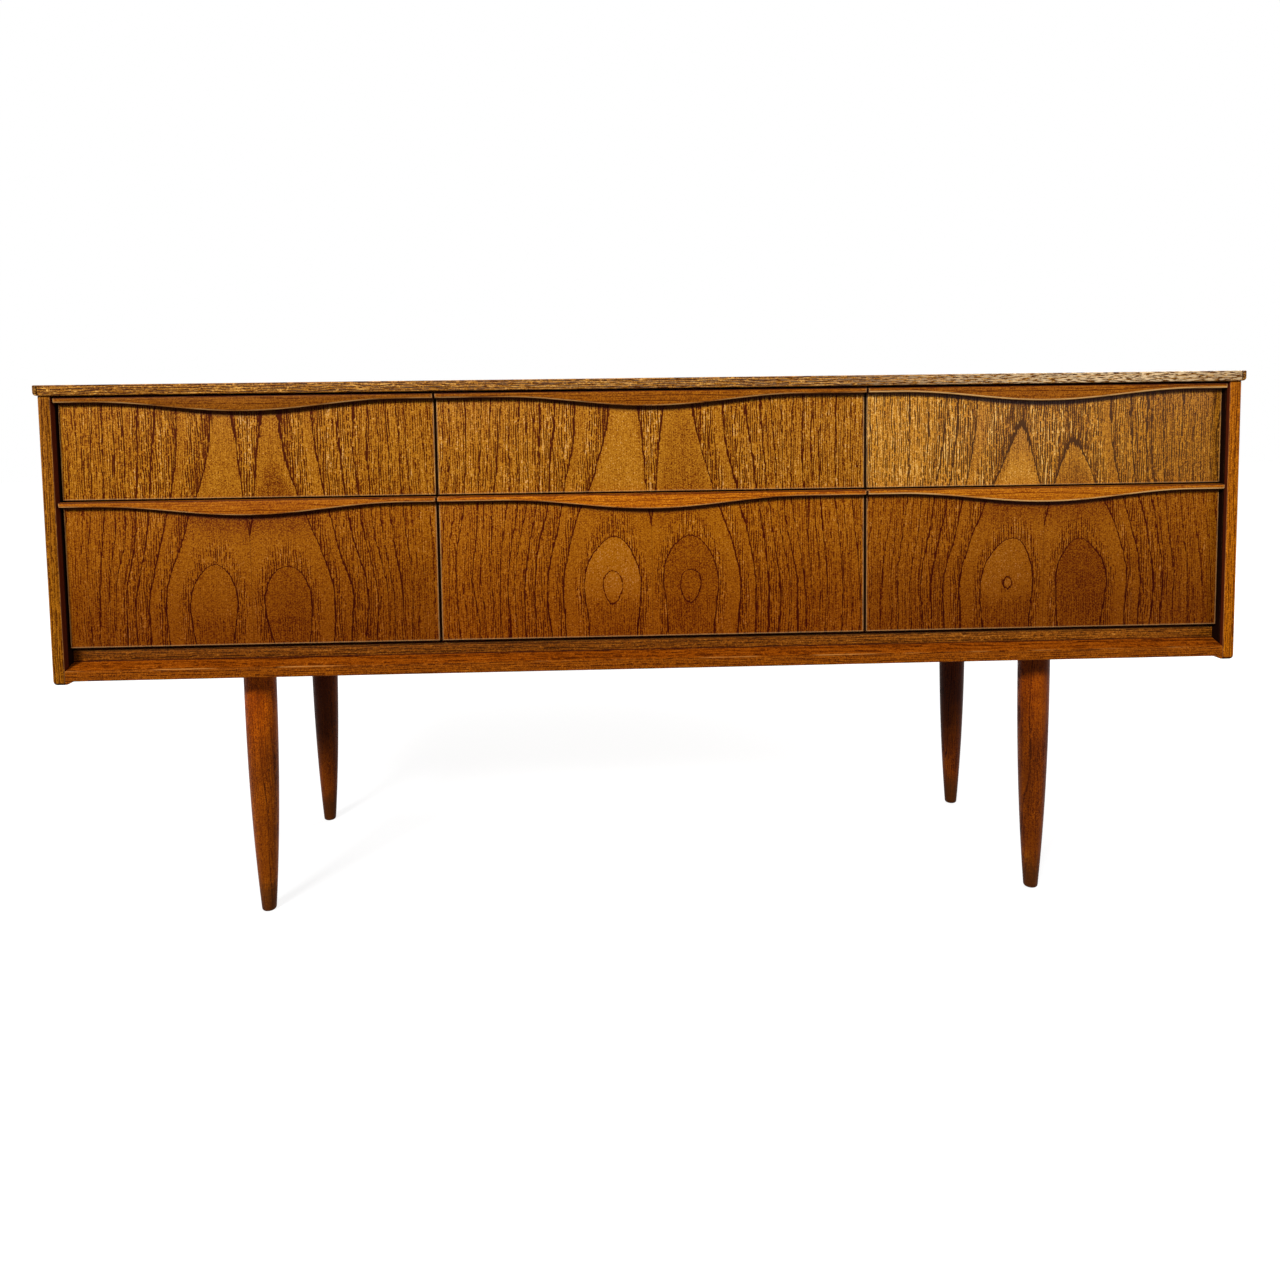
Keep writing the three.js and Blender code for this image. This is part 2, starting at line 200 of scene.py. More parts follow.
class Finish:
    """A material under construction, or the world, with short ways to add shader nodes."""

    def __init__(self, name, world=False):
        self.made = (bpy.data.worlds if world else bpy.data.materials).new(name)
        self.made.use_nodes = True
        self.tree = self.made.node_tree
        self.tree.nodes.clear()

    def add(self, kind, inputs=None, **settings):
        node = self.tree.nodes.new("ShaderNode" + kind)
        for key, value in settings.items():
            setattr(node, key, value)
        for key, value in (inputs or {}).items():
            self.feed(node.inputs[key], value)
        return node

    def feed(self, socket, value):
        if isinstance(value, bpy.types.NodeSocket):
            self.tree.links.new(value, socket)
        else:
            socket.default_value = value

    def math(self, operation, *values, clamp=False):
        node = self.add("Math", operation=operation, use_clamp=clamp)
        for socket, value in zip(node.inputs, values):
            self.feed(socket, value)
        return node.outputs[0]

    def chain(self, operation, *values):
        """One operation over several values, one after another."""
        return reduce(lambda first, second: self.math(operation, first, second), values)

    def total(self, *values):
        return self.chain("ADD", *values)

    def times(self, *values):
        return self.chain("MULTIPLY", *values)

    def place(self):
        """Object coordinates in millimetres, as three values."""
        where = self.add("TexCoord").outputs["Object"]
        split = self.add("SeparateXYZ", {0: where})
        return [self.math("MULTIPLY", socket, 1 / MM) for socket in split.outputs]

    def scaled(self, value, factor, offset=0.0):
        return self.math("MULTIPLY_ADD", value, factor, offset)

    def noise(self, x=0.0, y=0.0, z=0.0, detail=2.0, rough=0.5):
        """Cloudy noise from 0 to 1, about 0.5, over a point whose unit is one cloud.

        A place in millimetres comes with its cloud's size, and with a shift where it needs one.
        """
        places = []
        for place in (x, y, z):
            if isinstance(place, tuple):
                value, size, *shift = place
                place = self.scaled(value, 1 / size, *shift)
            places.append(place)
        point = self.add("CombineXYZ", dict(enumerate(places))).outputs[0]
        inputs = {"Vector": point, "Scale": 1.0, "Detail": detail, "Roughness": rough}
        return self.add("TexNoise", inputs, noise_dimensions="3D").outputs["Fac"]

    def swing(self, value, reach):
        """A noise's swing about its middle, times a reach."""
        return self.scaled(value, reach, -reach / 2)

    def ease(self, value, low, high, to_low=0.0, to_high=1.0):
        """Smooth step of a value between two levels, which may be sockets."""
        inputs = {"Value": value, "From Min": low, "From Max": high, "To Min": to_low, "To Max": to_high}
        return self.add("MapRange", inputs, interpolation_type="SMOOTHSTEP").outputs[0]

    def fade(self, value, low, high, start=1.0):
        """Smooth step down to 0."""
        return self.ease(value, low, high, start, 0.0)

    def on_right(self, x, left=0.0, right=1.0):
        """One value on the left half and another on the right, changing over the middle."""
        return self.ease(x, -MIDDLE_STRIP, MIDDLE_STRIP, left, right)

    def apart(self, value, level):
        """How far a value is from a level."""
        return self.math("ABSOLUTE", self.scaled(value, 1.0, -level))

    def blend(self, factor, first, second, mode="MIX"):
        node = self.add("Mix", data_type="RGBA", blend_type=mode)
        self.feed(node.inputs[0], factor)
        self.feed(node.inputs[6], first)
        self.feed(node.inputs[7], second)
        return node.outputs[2]

    def tint(self, colour, cast):
        return self.blend(1.0, colour, cast, "MULTIPLY")

    def choose(self, factor, first, second):
        node = self.add("Mix", data_type="FLOAT")
        for index, value in ((0, factor), (2, first), (3, second)):
            self.feed(node.inputs[index], value)
        return node.outputs[0]

    def ramp(self, value, stops):
        """Colour read off rows of (place from 0 to 1, colour)."""
        node = self.add("ValToRGB", {0: value})
        ramp = node.color_ramp
        while len(ramp.elements) < len(stops):
            ramp.elements.new(1.0)
        for element, (position, colour) in zip(ramp.elements, stops):
            element.position = position
        for element, (position, colour) in zip(ramp.elements, stops):
            element.color = colour
        return node.outputs[0]

    def table(self, value, rows):
        """Two values read from rows of (place from 0 to 1, first, second)."""
        stops = [(position, (first, second, 0.0, 1.0)) for position, first, second in rows]
        return self.add("SeparateColor", {0: self.ramp(value, stops)}).outputs[:2]

    def edge_distance(self, places, low, high):
        """How far a place is inside a box, measured on the given axes."""
        gaps = []
        for axis, place in places.items():
            k = "XYZ".index(axis)
            gaps += [self.scaled(place, 1.0, -low[k]), self.scaled(place, -1.0, high[k])]
        return self.chain("MINIMUM", *gaps)

    def near_edges(self, places, low, high, reach):
        """1 at the edges of a box on the given axes, fading to 0 at a reach inside them."""
        return self.fade(self.edge_distance(places, low, high), 0.2 * reach, reach)

    def surface(self, inputs):
        """Closes the material with one surface shader."""
        self.add("OutputMaterial", {0: self.add("BsdfPrincipled", inputs).outputs[0]})
        return self.made

    def polish(self, colour, roughness, height, depth, gloss):
        """A satin surface, with height read in millimetres times depth."""
        bump = self.add("Bump", {"Strength": 1.0, "Distance": depth * MM, "Height": height}).outputs[0]
        inputs = {"Base Color": colour, "Roughness": roughness, "Specular IOR Level": gloss, "Normal": bump}
        return self.surface(inputs)


# Growth rings of the crown-cut leaves, from the heart outwards: distance in millimetres,
# how porous the wood is, and how brown it is. Then where a dark line is drawn.
RINGS = (
    (0, 0.08, 0.00),
    (12.0, 0.08, 0.00),
    (12.4, 0.40, 0.45),
    (13.4, 0.30, 0.35),
    (15.0, 0.12, 0.15),
    (25.0, 0.12, 0.10),
    (35.8, 0.12, 0.20),
    (36.5, 1.00, 0.45),
    (37.5, 1.00, 0.25),
    (44.0, 0.90, 0.05),
    (49.0, 0.14, 0.00),
    (61.0, 0.08, 0.00),
    (63.7, 0.20, 0.15),
    (64.3, 1.00, 0.45),
    (65.6, 1.00, 0.40),
    (67.5, 1.00, 0.30),
    (72.5, 1.00, 0.10),
    (78.0, 0.18, 0.05),
    (83.2, 0.20, 0.15),
    (83.8, 1.00, 0.50),
    (85.5, 1.00, 0.40),
    (94.0, 0.85, 0.05),
    (99.4, 0.60, 0.05),
    (100.0, 0.95, 0.35),
    (108.0, 0.85, 0.05),
    (111.6, 0.70, 0.10),
    (112.2, 0.95, 0.30),
    (128.0, 0.80, 0.10),
)
RING_EDGES = (12.2, 36.2, 64.0, 83.5, 99.7, 111.9)
RING_SPAN = RINGS[-1][0]

# Where a place lies in a pair of leaves: its ring distance and how fast that grows, 0 or 1 for the
# left or right leaf, how far it is from the seam, and how high over the middle of the heart's eye.
Figure = namedtuple("Figure", "ring slope twin from_seam up")


def even_rings(n, distance, pitch, along, seed, wander=2.4):
    """Porous, brown and edge levels of rings at an even pace.

    In each ring the early wood is most open at the ring's dark edge, and fades outwards.
    """
    drift = n.noise((distance, 28), seed, (along, 400))
    pace = n.scaled(drift, wander, n.scaled(distance, 1 / pitch))
    tooth = n.math("FRACT", pace)
    choice = n.noise(n.scaled(n.math("FLOOR", pace), 0.73), seed + 5.4, detail=0.0)
    strong = n.ease(choice, 0.35, 0.65, 0.25, 1.0)
    early = n.times(n.ease(tooth, 0.0, 0.9, 1.0, 0.42), n.ease(tooth, 0.95, 1.0, 1.0, 0.6))
    line = n.times(n.fade(tooth, 0.07, 0.12), strong)
    return n.times(early, n.scaled(strong, 0.4, 0.6)), n.times(early, strong, 0.3), line


def crown_leaf(n, across, along, leaf):
    """Figure of a pair of book-matched crown-cut leaves.

    The heart lies `heart` from the seam, and up to 16 nearer above its eye. With d the distance
    from the heart and t the height over the middle of its eye, the ring distance is the root of
    d^2 + 0.49 t^2 / (1 + (t / 94)^2) + sink. Below the eye, where t is negative, it is shortened
    to t / (1 - t / 60), so that the rings stay open there.
    """
    offset = n.math("SUBTRACT", across, leaf["seam"])
    twin = n.ease(offset, -0.3, 0.3)
    from_seam = n.math("ABSOLUTE", offset)
    own = n.scaled(twin, 3.7, leaf["seed"])
    slow = n.noise((from_seam, 70), own, (along, 150), detail=1.0)
    small = n.noise((from_seam, 14), own, (along, 60))
    ragged = n.noise((from_seam, 2.0), own, (along, 14), detail=1.0)
    t = n.math("SUBTRACT", along, leaf["middle"])
    rise = n.ease(t, 0.0, 220.0, 0.0, 16.0)
    gap = n.math("SUBTRACT", from_seam, leaf["heart"])
    near = n.ease(n.math("ABSOLUTE", gap), 30.0, 110.0, 1.0, 0.25)
    away = n.total(gap, n.times(rise, near), n.swing(slow, 18.0), n.swing(small, 4.0))
    shortening = n.math("SUBTRACT", 1.0, n.scaled(n.math("MINIMUM", t, 0.0), 1 / 60))
    short = n.math("DIVIDE", t, shortening)
    tt = n.times(short, short)
    bow = n.math("DIVIDE", n.scaled(tt, 0.49), n.scaled(tt, 1 / 94**2, 1.0))
    sunk = n.times(n.ease(along, *leaf["sink"]), n.scaled(twin, 0.3, 1.0))
    depth = n.total(n.times(away, away), bow, sunk)
    ring = n.math("SQRT", n.math("MAXIMUM", depth, 1.0))
    least = n.scaled(n.math("ABSOLUTE", t), 0.1, 4.0)
    slope = n.math("DIVIDE", n.math("MAXIMUM", n.math("ABSOLUTE", away), least), ring)
    ring = n.math("ADD", ring, n.times(n.swing(ragged, 3.6), slope))
    return Figure(ring, slope, twin, from_seam, t)


def leaf_rings(n, figure, along, seed):
    """Porous, brown and edge levels of a figure; past the table the rings come at an even pace.

    A ring's line is drawn to an even width, so the distance to it is divided by the ring's slope.
    """
    ring = figure.ring
    rows = [(distance / RING_SPAN, porous, brown) for distance, porous, brown in RINGS]
    gap = n.chain("MINIMUM", *[n.apart(ring, edge) for edge in RING_EDGES])
    line = n.fade(n.math("DIVIDE", gap, figure.slope), 0.45, 1.0)
    line = n.times(line, n.ease(ring, 20.0, 30.0, 0.55, 1.0))
    near = *n.table(n.math("DIVIDE", ring, RING_SPAN), rows), line
    porous, brown, line = even_rings(n, ring, 10.5, along, seed)
    far = porous, brown, n.scaled(line, 0.72)
    mix = n.ease(ring, 108.0, 120.0)
    return [n.choose(mix, inner, outer) for inner, outer in zip(near, far)]


def straight_rings(n, where, pitch, seed):
    """Levels of quarter- and rift-sawn wood, whose rings run nearly along the grain."""
    across, through, along = where
    bend = n.noise((across, 60), (through, 60, seed), (along, 420))
    distance = n.total(across, n.scaled(through, 0.35), n.scaled(bend, 5.0 * pitch))
    return even_rings(n, distance, pitch, along, seed, wander=1.0)


def board_rings(n, across, along, leaf_width, seed):
    """Levels of crown-cut leaves laid side by side, every other one turned over.

    The ring distance is the root of d^2 + h^2, with d the distance from the leaf's middle and h
    a depth that grows evenly along the grain, which draws long arches.
    """
    cell = n.scaled(across, 1 / leaf_width, seed)
    index = n.math("FLOOR", cell)
    flip = n.scaled(n.math("MODULO", n.math("ABSOLUTE", index), 2.0), 2.0, -1.0)
    local = n.times(n.scaled(n.math("SUBTRACT", cell, index), leaf_width, -leaf_width / 2), flip)
    sway = n.noise((local, 80), seed, (along, 260), detail=1.0)
    small = n.noise((local, 16), seed, (along, 90))
    d = n.total(local, n.swing(sway, 50.0), n.swing(small, 6.0))
    h = n.scaled(along, 0.05, 60.0)
    distance = n.math("SQRT", n.total(n.times(d, d), n.times(h, h)))
    porous, brown, line = even_rings(n, distance, 9.0, along, seed)
    return porous, brown, n.times(line, n.ease(n.math("ABSOLUTE", d), 4.0, 26.0, 0.1, 1.0))


STRAND = 2.9  # width of a strand of wood, which holds one line of pores
PORE_DEPTH = 0.12  # how hollow the open pores are
TONE_PLACES = (0.0, 0.28, 0.52, 0.74, 1.0)


def teak(n, rings, where, tones, seed, length=9.0, hatch=1.0, cloud=0.15, lift=None):
    """Colour of teak, read off five tones, and how open its pores are.

    The wood is cut into strands along the grain, each with patterns of its own. Down a strand,
    on one side or the other of its middle, runs a thin line of pores, in dashes of about
    `length`, with lighter fibres between them. The level is 0.56 plus these, mottle and clouds,
    less the brown of the early wood and the dark, broken line at each ring's edge. `hatch` is
    how strongly the strands show, `cloud` how strongly the clouds do, and `lift` is added.
    """
    porous, brown, edge = rings
    across, through, along = where
    wander = n.noise((across, 14), (through, 14, seed), (along, 36))
    bent = n.math("ADD", across, n.swing(wander, 6.0))

    def stranded(width, size, shift, **more):
        a = n.scaled(n.math("FLOOR", n.scaled(bent, 1 / width)), 3.37)
        b = n.scaled(n.math("FLOOR", n.scaled(through, 1 / width)), 5.19, shift)
        return n.noise(a, b, (along, size), **more)

    beside = n.swing(stranded(STRAND, 4.0 * length, seed + 17.9, detail=1.0), 1.3)
    away = n.math("ABSOLUTE", n.total(n.math("FRACT", n.scaled(bent, 1 / STRAND)), beside, -0.5))
    pores = stranded(STRAND, length, seed, rough=0.6)
    dashes = n.times(n.fade(away, 0.14, 0.30), n.fade(pores, 0.49, 0.62))
    shine = n.ease(stranded(0.7 * STRAND, 2.0 * length, seed + 13.3), 0.48, 0.66)
    threads = stranded(0.8 * STRAND, 7.0 * length, seed + 31.3, detail=1.0)
    mottle = stranded(1.2, 1.6, seed + 58.7, detail=0.0)
    clouds = n.noise((across, 38), (through, 38, seed), (along, 90))
    strands = n.total(n.scaled(dashes, -0.84), n.scaled(shine, 0.28), n.swing(threads, 0.65))
    level = n.total(
        n.times(strands, n.scaled(porous, 0.94 * hatch, 0.06 * hatch)),
        n.swing(mottle, 0.9),
        n.swing(clouds, cloud),
        n.scaled(brown, -0.2, 0.56),
        n.times(edge, n.ease(pores, 0.44, 0.64, -1.25, -0.7)),
    )
    if lift is not None:
        level = n.math("ADD", level, lift)
    return n.ramp(level, list(zip(TONE_PLACES, tones))), n.fade(level, 0.1, 0.4)


def straight_teak(n, where, tones, seed, pitch, **options):
    """Teak whose rings run nearly along the grain; where is across, through and along it."""
    return teak(n, straight_rings(n, where, pitch, seed), where, tones, seed, **options)


def teak_polish(n, colour, open_pores, gloss, scuffed=None):
    """An oil finish, given as roughness and gloss: rougher on scuffs and in the hollow pores."""
    roughness, shine = gloss
    rough = open_pores if scuffed is None else n.math("MAXIMUM", open_pores, scuffed)
    rough = n.scaled(rough, 0.2, roughness)
    return n.polish(colour, rough, n.scaled(open_pores, -1.0), PORE_DEPTH, gloss=shine)


def shades(*chips):
    return [paint(*chip) for chip in chips]


# Open pores, brown early wood, ground, gold late wood and bright flecks.
UPPER_TONES = shades((70, 22, 0), (118, 56, 4), (166, 104, 18), (190, 127, 33), (222, 170, 106))
UPPER_RIGHT_TONES = shades((66, 34, 0), (112, 60, 0), (168, 106, 22), (194, 130, 31), (228, 176, 96))
LOWER_TONES = shades((68, 16, 0), (112, 48, 2), (153, 88, 6), (176, 109, 17), (204, 146, 84))
PULL_TONES = shades((110, 44, 0), (142, 68, 6), (172, 94, 12), (194, 114, 20), (216, 144, 50))
DARK_PULL_TONES = shades((78, 32, 0), (106, 52, 3), (134, 74, 8), (154, 90, 14), (182, 118, 38))
EDGE_TONES = shades((64, 28, 4), (102, 58, 12), (142, 94, 30), (168, 118, 50), (212, 166, 100))
RAIL_TONES = shades((62, 22, 0), (98, 43, 2), (132, 65, 4), (156, 83, 10), (188, 113, 36))
PLINTH_TONES = shades((52, 22, 0), (84, 41, 2), (116, 60, 7), (136, 77, 13), (168, 107, 38))
TOP_TONES = shades((74, 28, 0), (122, 62, 8), (168, 106, 24), (190, 126, 34), (220, 166, 84))
SIDE_TONES = shades((78, 28, 0), (128, 60, 4), (172, 100, 14), (194, 120, 24), (218, 152, 66))
LIPPING_TONES = shades((74, 30, 0), (108, 58, 4), (142, 83, 8), (165, 101, 15), (196, 130, 40))
LEG_TONES = shades((74, 32, 0), (114, 54, 2), (156, 84, 8), (178, 102, 14), (204, 130, 36))
PLAIN = (1.0, 1.0, 1.0, 1.0)
# Painted highlight along arrises, where light would catch them.
ARRIS_HIGHLIGHT = paint(205, 160, 104)
# Painted shade: under and round the pulls, and along the plinth's foot.
PAINTED_SHADE = paint(58, 20, 14)
# Painted shade, near black: on the fronts' edges in the gaps, and under the side panels' feet.
GAP_SHADE = paint(26, 10, 6)

# Where each column's book-matched leaves meet, the heart's distance from there, the middle of the
# eye, how the rings sink (from and to which height, and the sinking there), a seed, how much
# lighter or darker the left and right hearts are than the rest (partly painted light, as the
# mirrored leaves take the light differently), how much painted shade darkens the wood under the
# middle of a lower front's pull, and the colour cast at the foot and head of a lower front, partly
# the finish's tone and partly painted shade.
LEAVES = {
    "left": dict(
        seam=-511.0, heart=46.5, middle=434.0, sink=(560.0, 700.0, 380.0, 150.0), seed=3.0,
        lift={"upper": (-0.04, -0.21), "lower": (0.03, -0.08)}, shade=-0.24,
        cast=((0.60, 0.46, 0.45, 1.0), (0.92, 0.90, 0.95, 1.0)),
    ),
    "middle": dict(
        seam=-2.0, heart=51.0, middle=448.0, sink=(500.0, 620.0, 0.0, 0.0), seed=11.0,
        lift={"upper": (0.03, -0.10), "lower": (0.13, -0.10)}, shade=-0.08,
        cast=((0.70, 0.54, 0.5, 1.0), PLAIN),
    ),
    "right": dict(
        seam=509.0, heart=48.5, middle=441.0, sink=(500.0, 620.0, 124.0, 515.0), seed=23.0,
        lift={"upper": (0.08, -0.18), "lower": (0.10, -0.14)}, shade=-0.20,
        cast=((0.58, 0.45, 0.42, 1.0), (0.86, 0.82, 0.85, 1.0)),
    ),
}

# Each row's tones, the ring that bounds its light hearts, how strongly its strands show, and its
# roughness and gloss; then how dark the smoke over an upper front's arches is, and how much
# lighter the wood between the two arches.
FRONT_ROWS = {
    "upper": dict(tones=UPPER_TONES, bound=62.0, hatch=0.88, gloss=(0.44, 0.04), crest=-0.2, between=0.11),
    "lower": dict(tones=LOWER_TONES, bound=37.0, hatch=0.6, gloss=(0.46, 0.03)),
}
# What differs on one front; its pores thin out from one place in X to another.
FRONT_ODDS = {
    ("upper", "right"): dict(
        tones=UPPER_RIGHT_TONES, hatch=1.3, gloss=(0.34, 0.12), crest=-0.26, between=0.0,
        thin=(540.0, 620.0, 1.0, 0.6),
    ),
}


def pull_edge(n, x, row, column):
    """A pull's swell, 1 in the middle and 0 at the ends of its wave, and its lower edge's height."""
    low, high = node_box(f"{row}_{column}_drawer_pull")
    away = n.scaled(n.apart(x, (low[0] + high[0]) / 2), 1 / HALF_WAVE)
    swell = n.scaled(n.math("COSINE", n.scaled(n.math("MINIMUM", away, 1.0), math.pi)), 0.5, 0.5)
    return swell, n.scaled(swell, PULL_END - PULL_MIDDLE, high[2] - PULL_END)


def upper_lift(n, column, x, z, figure, look):
    """Smoke over the arches of an upper front, and painted light and shade across it."""
    ring, slope, _, from_seam, up = figure
    between = n.times(n.ease(ring, 64.0, 66.0), n.fade(from_seam, 20.0, 30.0))
    smoke = n.noise((x, 1.7), LEAVES[column]["seed"] + 3.1, (z, 45))
    crest = n.times(n.ease(ring, 63.9, 64.5), n.fade(ring, 66.0, 69.5), n.ease(smoke, 0.40, 0.56))
    crest = n.times(crest, n.ease(slope, 0.35, 0.65, 1.0, 0.25), n.scaled(between, -1.0, 1.0))
    lifts = [n.scaled(crest, look["crest"]), n.scaled(between, look["between"])]
    if column == "left":
        lifts += [n.ease(x, -640.0, -400.0, -0.035, -0.015)]
    elif column == "middle":
        lifts += [n.ease(n.math("ABSOLUTE", x), 90.0, 150.0, 0.0, 0.04)]
    else:
        plume = n.times(n.fade(n.apart(from_seam, 32.0), 2.0, 10.0), n.ease(ring, 64.0, 67.0))
        plume = n.times(plume, n.ease(smoke, 0.38, 0.56, 0.35, 1.0), n.ease(up, 100.0, 170.0, 0.0, -0.34))
        # On the right front, a painted highlight of daylight over its left part and painted shade at its
        # right end; the plume is smoke in the figure.
        lifts += [n.ease(x, 320.0, 450.0, 0.16, 0.03), n.ease(x, 560.0, 680.0, 0.0, -0.09), plume]
    return n.total(*lifts)


def front_edges(n, colour, row, column, x, y, z):
    """A front's painted highlight along its arrises, the shadow painted under its pull, and the shade
    painted on its edges, which darkens the gaps round it.
    """
    low, high = node_box(f"{row}_{column}_drawer_front")
    rim = n.edge_distance({"X": x, "Z": z}, low, high)
    # Painted highlight along the front's arrises.
    colour = n.blend(n.fade(rim, 1.6, 2.5, 0.36), colour, ARRIS_HIGHLIGHT)
    swell, hang = pull_edge(n, x, row, column)
    below = n.math("DIVIDE", n.math("SUBTRACT", hang, z), n.scaled(swell, 4.5, 5.0))
    # Painted shadow under the pull, longest under its middle.
    pull_shadow = n.times(n.ease(below, -0.3, -0.05), n.fade(below, 0.3, 1.0, 0.85))
    colour = n.blend(pull_shadow, colour, PAINTED_SHADE)
    # Painted shade on the edge faces and the outermost rim, so the gaps read dark.
    inside = n.math("MAXIMUM", n.ease(y, low[1] + 0.4, low[1] + 1.1), n.fade(rim, 0.7, 1.2, 0.96))
    inside = n.times(inside, n.fade(y, low[1] + 3.5, low[1] + 5.0))
    return n.blend(inside, colour, GAP_SHADE)


def front_finish(row, column):
    """The leaves of one drawer front; the lower fronts darken to their foot, partly as painted shade."""
    leaf = LEAVES[column]
    look = FRONT_ROWS[row] | FRONT_ODDS.get((row, column), {})
    n = Finish(f"{row}_{column}_front_teak")
    x, y, z = n.place()
    figure = crown_leaf(n, x, z, leaf)
    porous, brown, edge = leaf_rings(n, figure, z, leaf["seed"])
    fan = n.times(n.fade(figure.ring, 34.0, 36.0), n.fade(figure.up, -26.0, -6.0, 0.4))
    porous = n.math("MAXIMUM", porous, fan)
    brown = n.math("MAXIMUM", brown, fan)
    if "thin" in look:
        porous = n.times(porous, n.ease(x, *look["thin"]))
    bound = look["bound"]
    heart = n.times(n.fade(figure.ring, bound - 2.0, bound + 1.0), n.ease(figure.up, -58.0, 14.0))
    if row == "upper":
        shade = upper_lift(n, column, x, z, figure, look)
    else:
        # Painted shade under the middle of a lower front's pull.
        under_pull = n.ease(z, 500.0, 552.0, 0.0, leaf["shade"])
        shade = n.times(n.fade(figure.from_seam, 50.0, 120.0), under_pull)
    # Hearts lighter or darker by leaf, partly painted light, plus the smoke, painted light and painted
    # shade above.
    lift = n.math("ADD", n.times(heart, n.choose(figure.twin, *leaf["lift"][row])), shade)
    rings = (porous, brown, edge)
    colour, pores = teak(n, rings, (x, y, z), look["tones"], leaf["seed"], hatch=look["hatch"], lift=lift)
    # Darker and redder to the foot of a lower front: partly the finish's tone, partly painted shade.
    if row == "lower":
        colour = n.tint(colour, n.blend(n.ease(z, 380.0, 560.0), *leaf["cast"]))
    colour = n.blend(n.fade(figure.from_seam, 0.2, 0.8, 0.4), colour, look["tones"][0])
    colour = front_edges(n, colour, row, column, x, y, z)
    return teak_polish(n, colour, pores, look["gloss"])


def straight_finish(name, across, along, tones, seed, pitch, gloss=(0.42, 0.08)):
    """Teak with nearly straight grain along one axis."""
    n = Finish(name)
    axes = dict(zip("XYZ", n.place()))
    through = [a for a in "XYZ" if a not in (across, along)][0]
    where = (axes[across], axes[through], axes[along])
    colour, pores = straight_teak(n, where, tones, seed, pitch)
    return teak_polish(n, colour, pores, gloss)


def top_finish():
    """Crown-cut veneer in leaves laid side by side along the top."""
    n = Finish("top_teak_veneer")
    x, y, z = n.place()
    rings = board_rings(n, y, x, leaf_width=152.0, seed=14.0)
    colour, pores = teak(n, rings, (y, z, x), TOP_TONES, seed=14.0)
    return teak_polish(n, colour, pores, gloss=(0.42, 0.03))


def side_finish(name, tones, seed, lipping):
    """A side panel's teak, upright in the grain, stained dark on its inner face with painted shade deeper
    in, and with painted shade at its foot.
    """
    n = Finish(name)
    x, y, z = n.place()
    low, high = node_box("right_side_panel")
    if lipping:
        colour, pores = straight_teak(n, (x, y, z), tones, seed, pitch=6.0, hatch=0.8)
    else:
        rings = board_rings(n, y, z, leaf_width=150.0, seed=seed)
        colour, pores = teak(n, rings, (y, x, z), tones, seed)
    fibre = n.noise((x, 1.6), seed, (z, 40), detail=3.0)
    core = n.blend(n.ease(fibre, 0.35, 0.65), paint(104, 60, 18), paint(160, 104, 46))
    colour = n.blend(n.ease(y, high[1] - 0.9, high[1] - 0.3), colour, core)
    out = n.math("ABSOLUTE", x)
    if lipping:
        # Painted light: the right lipping lighter and warmer than the left.
        colour = n.tint(colour, n.blend(n.on_right(x), PLAIN, (1.42, 1.22, 0.7, 1.0)))
        # Painted highlight along the lipping's outer arrises.
        colour = n.blend(n.scaled(n.near_edges({"X": out}, low, high, 1.4), 0.25), colour, ARRIS_HIGHLIGHT)
    depth = n.math("SUBTRACT", y, n.on_right(x, 9.0, 5.0))
    # The inner face's dark red-brown stain, turning near black deeper in as painted shade beside the
    # fronts.
    stain_and_shade = n.blend(n.ease(depth, low[1], low[1] + 1.5), paint(84, 33, 15), paint(24, 9, 5))
    colour = n.blend(n.fade(out, low[0] + 0.1, low[0] + 0.8), colour, stain_and_shade)
    # Painted shade under the foot.
    colour = n.blend(n.fade(z, low[2] + 1.4, low[2] + 3.2), colour, GAP_SHADE)
    return teak_polish(n, colour, pores, gloss=(0.42, 0.025))


def top_lipping_finish():
    """The top's front edge, with a painted sheen of daylight in pale streaks towards the right."""
    n = Finish("top_lipping_teak")
    x, y, z = n.place()
    lift = n.ease(x, 200.0, 680.0, 0.04, -0.12)
    colour, pores = straight_teak(n, (z, y, x), EDGE_TONES, seed=9.0, pitch=4.0, hatch=1.6, lift=lift)
    colour = n.blend(n.fade(x, 200.0, 680.0), colour, n.tint(colour, (1.06, 0.92, 0.55, 1.0)))
    streak = n.noise((x, 12), (z, 1.6, 7.7), detail=3.0, rough=0.6)
    reach = n.total(n.ease(x, -760.0, 150.0, 0.02, 0.10), n.ease(x, 150.0, 720.0, 0.0, 0.86))
    front = node_box("top_board")[0][1]
    on_face = n.times(n.ease(x, 620.0, 740.0, 1.0, 0.6), n.ease(y, front + 0.8, front + 2.4, 1.0, 0.25))
    # Painted sheen: pale streaks on the front face, spreading towards the right.
    painted_sheen = n.times(reach, n.ease(streak, 0.46, 0.54), on_face)
    return teak_polish(n, n.blend(painted_sheen, colour, paint(240, 208, 160)), pores, gloss=(0.36, 0.05))


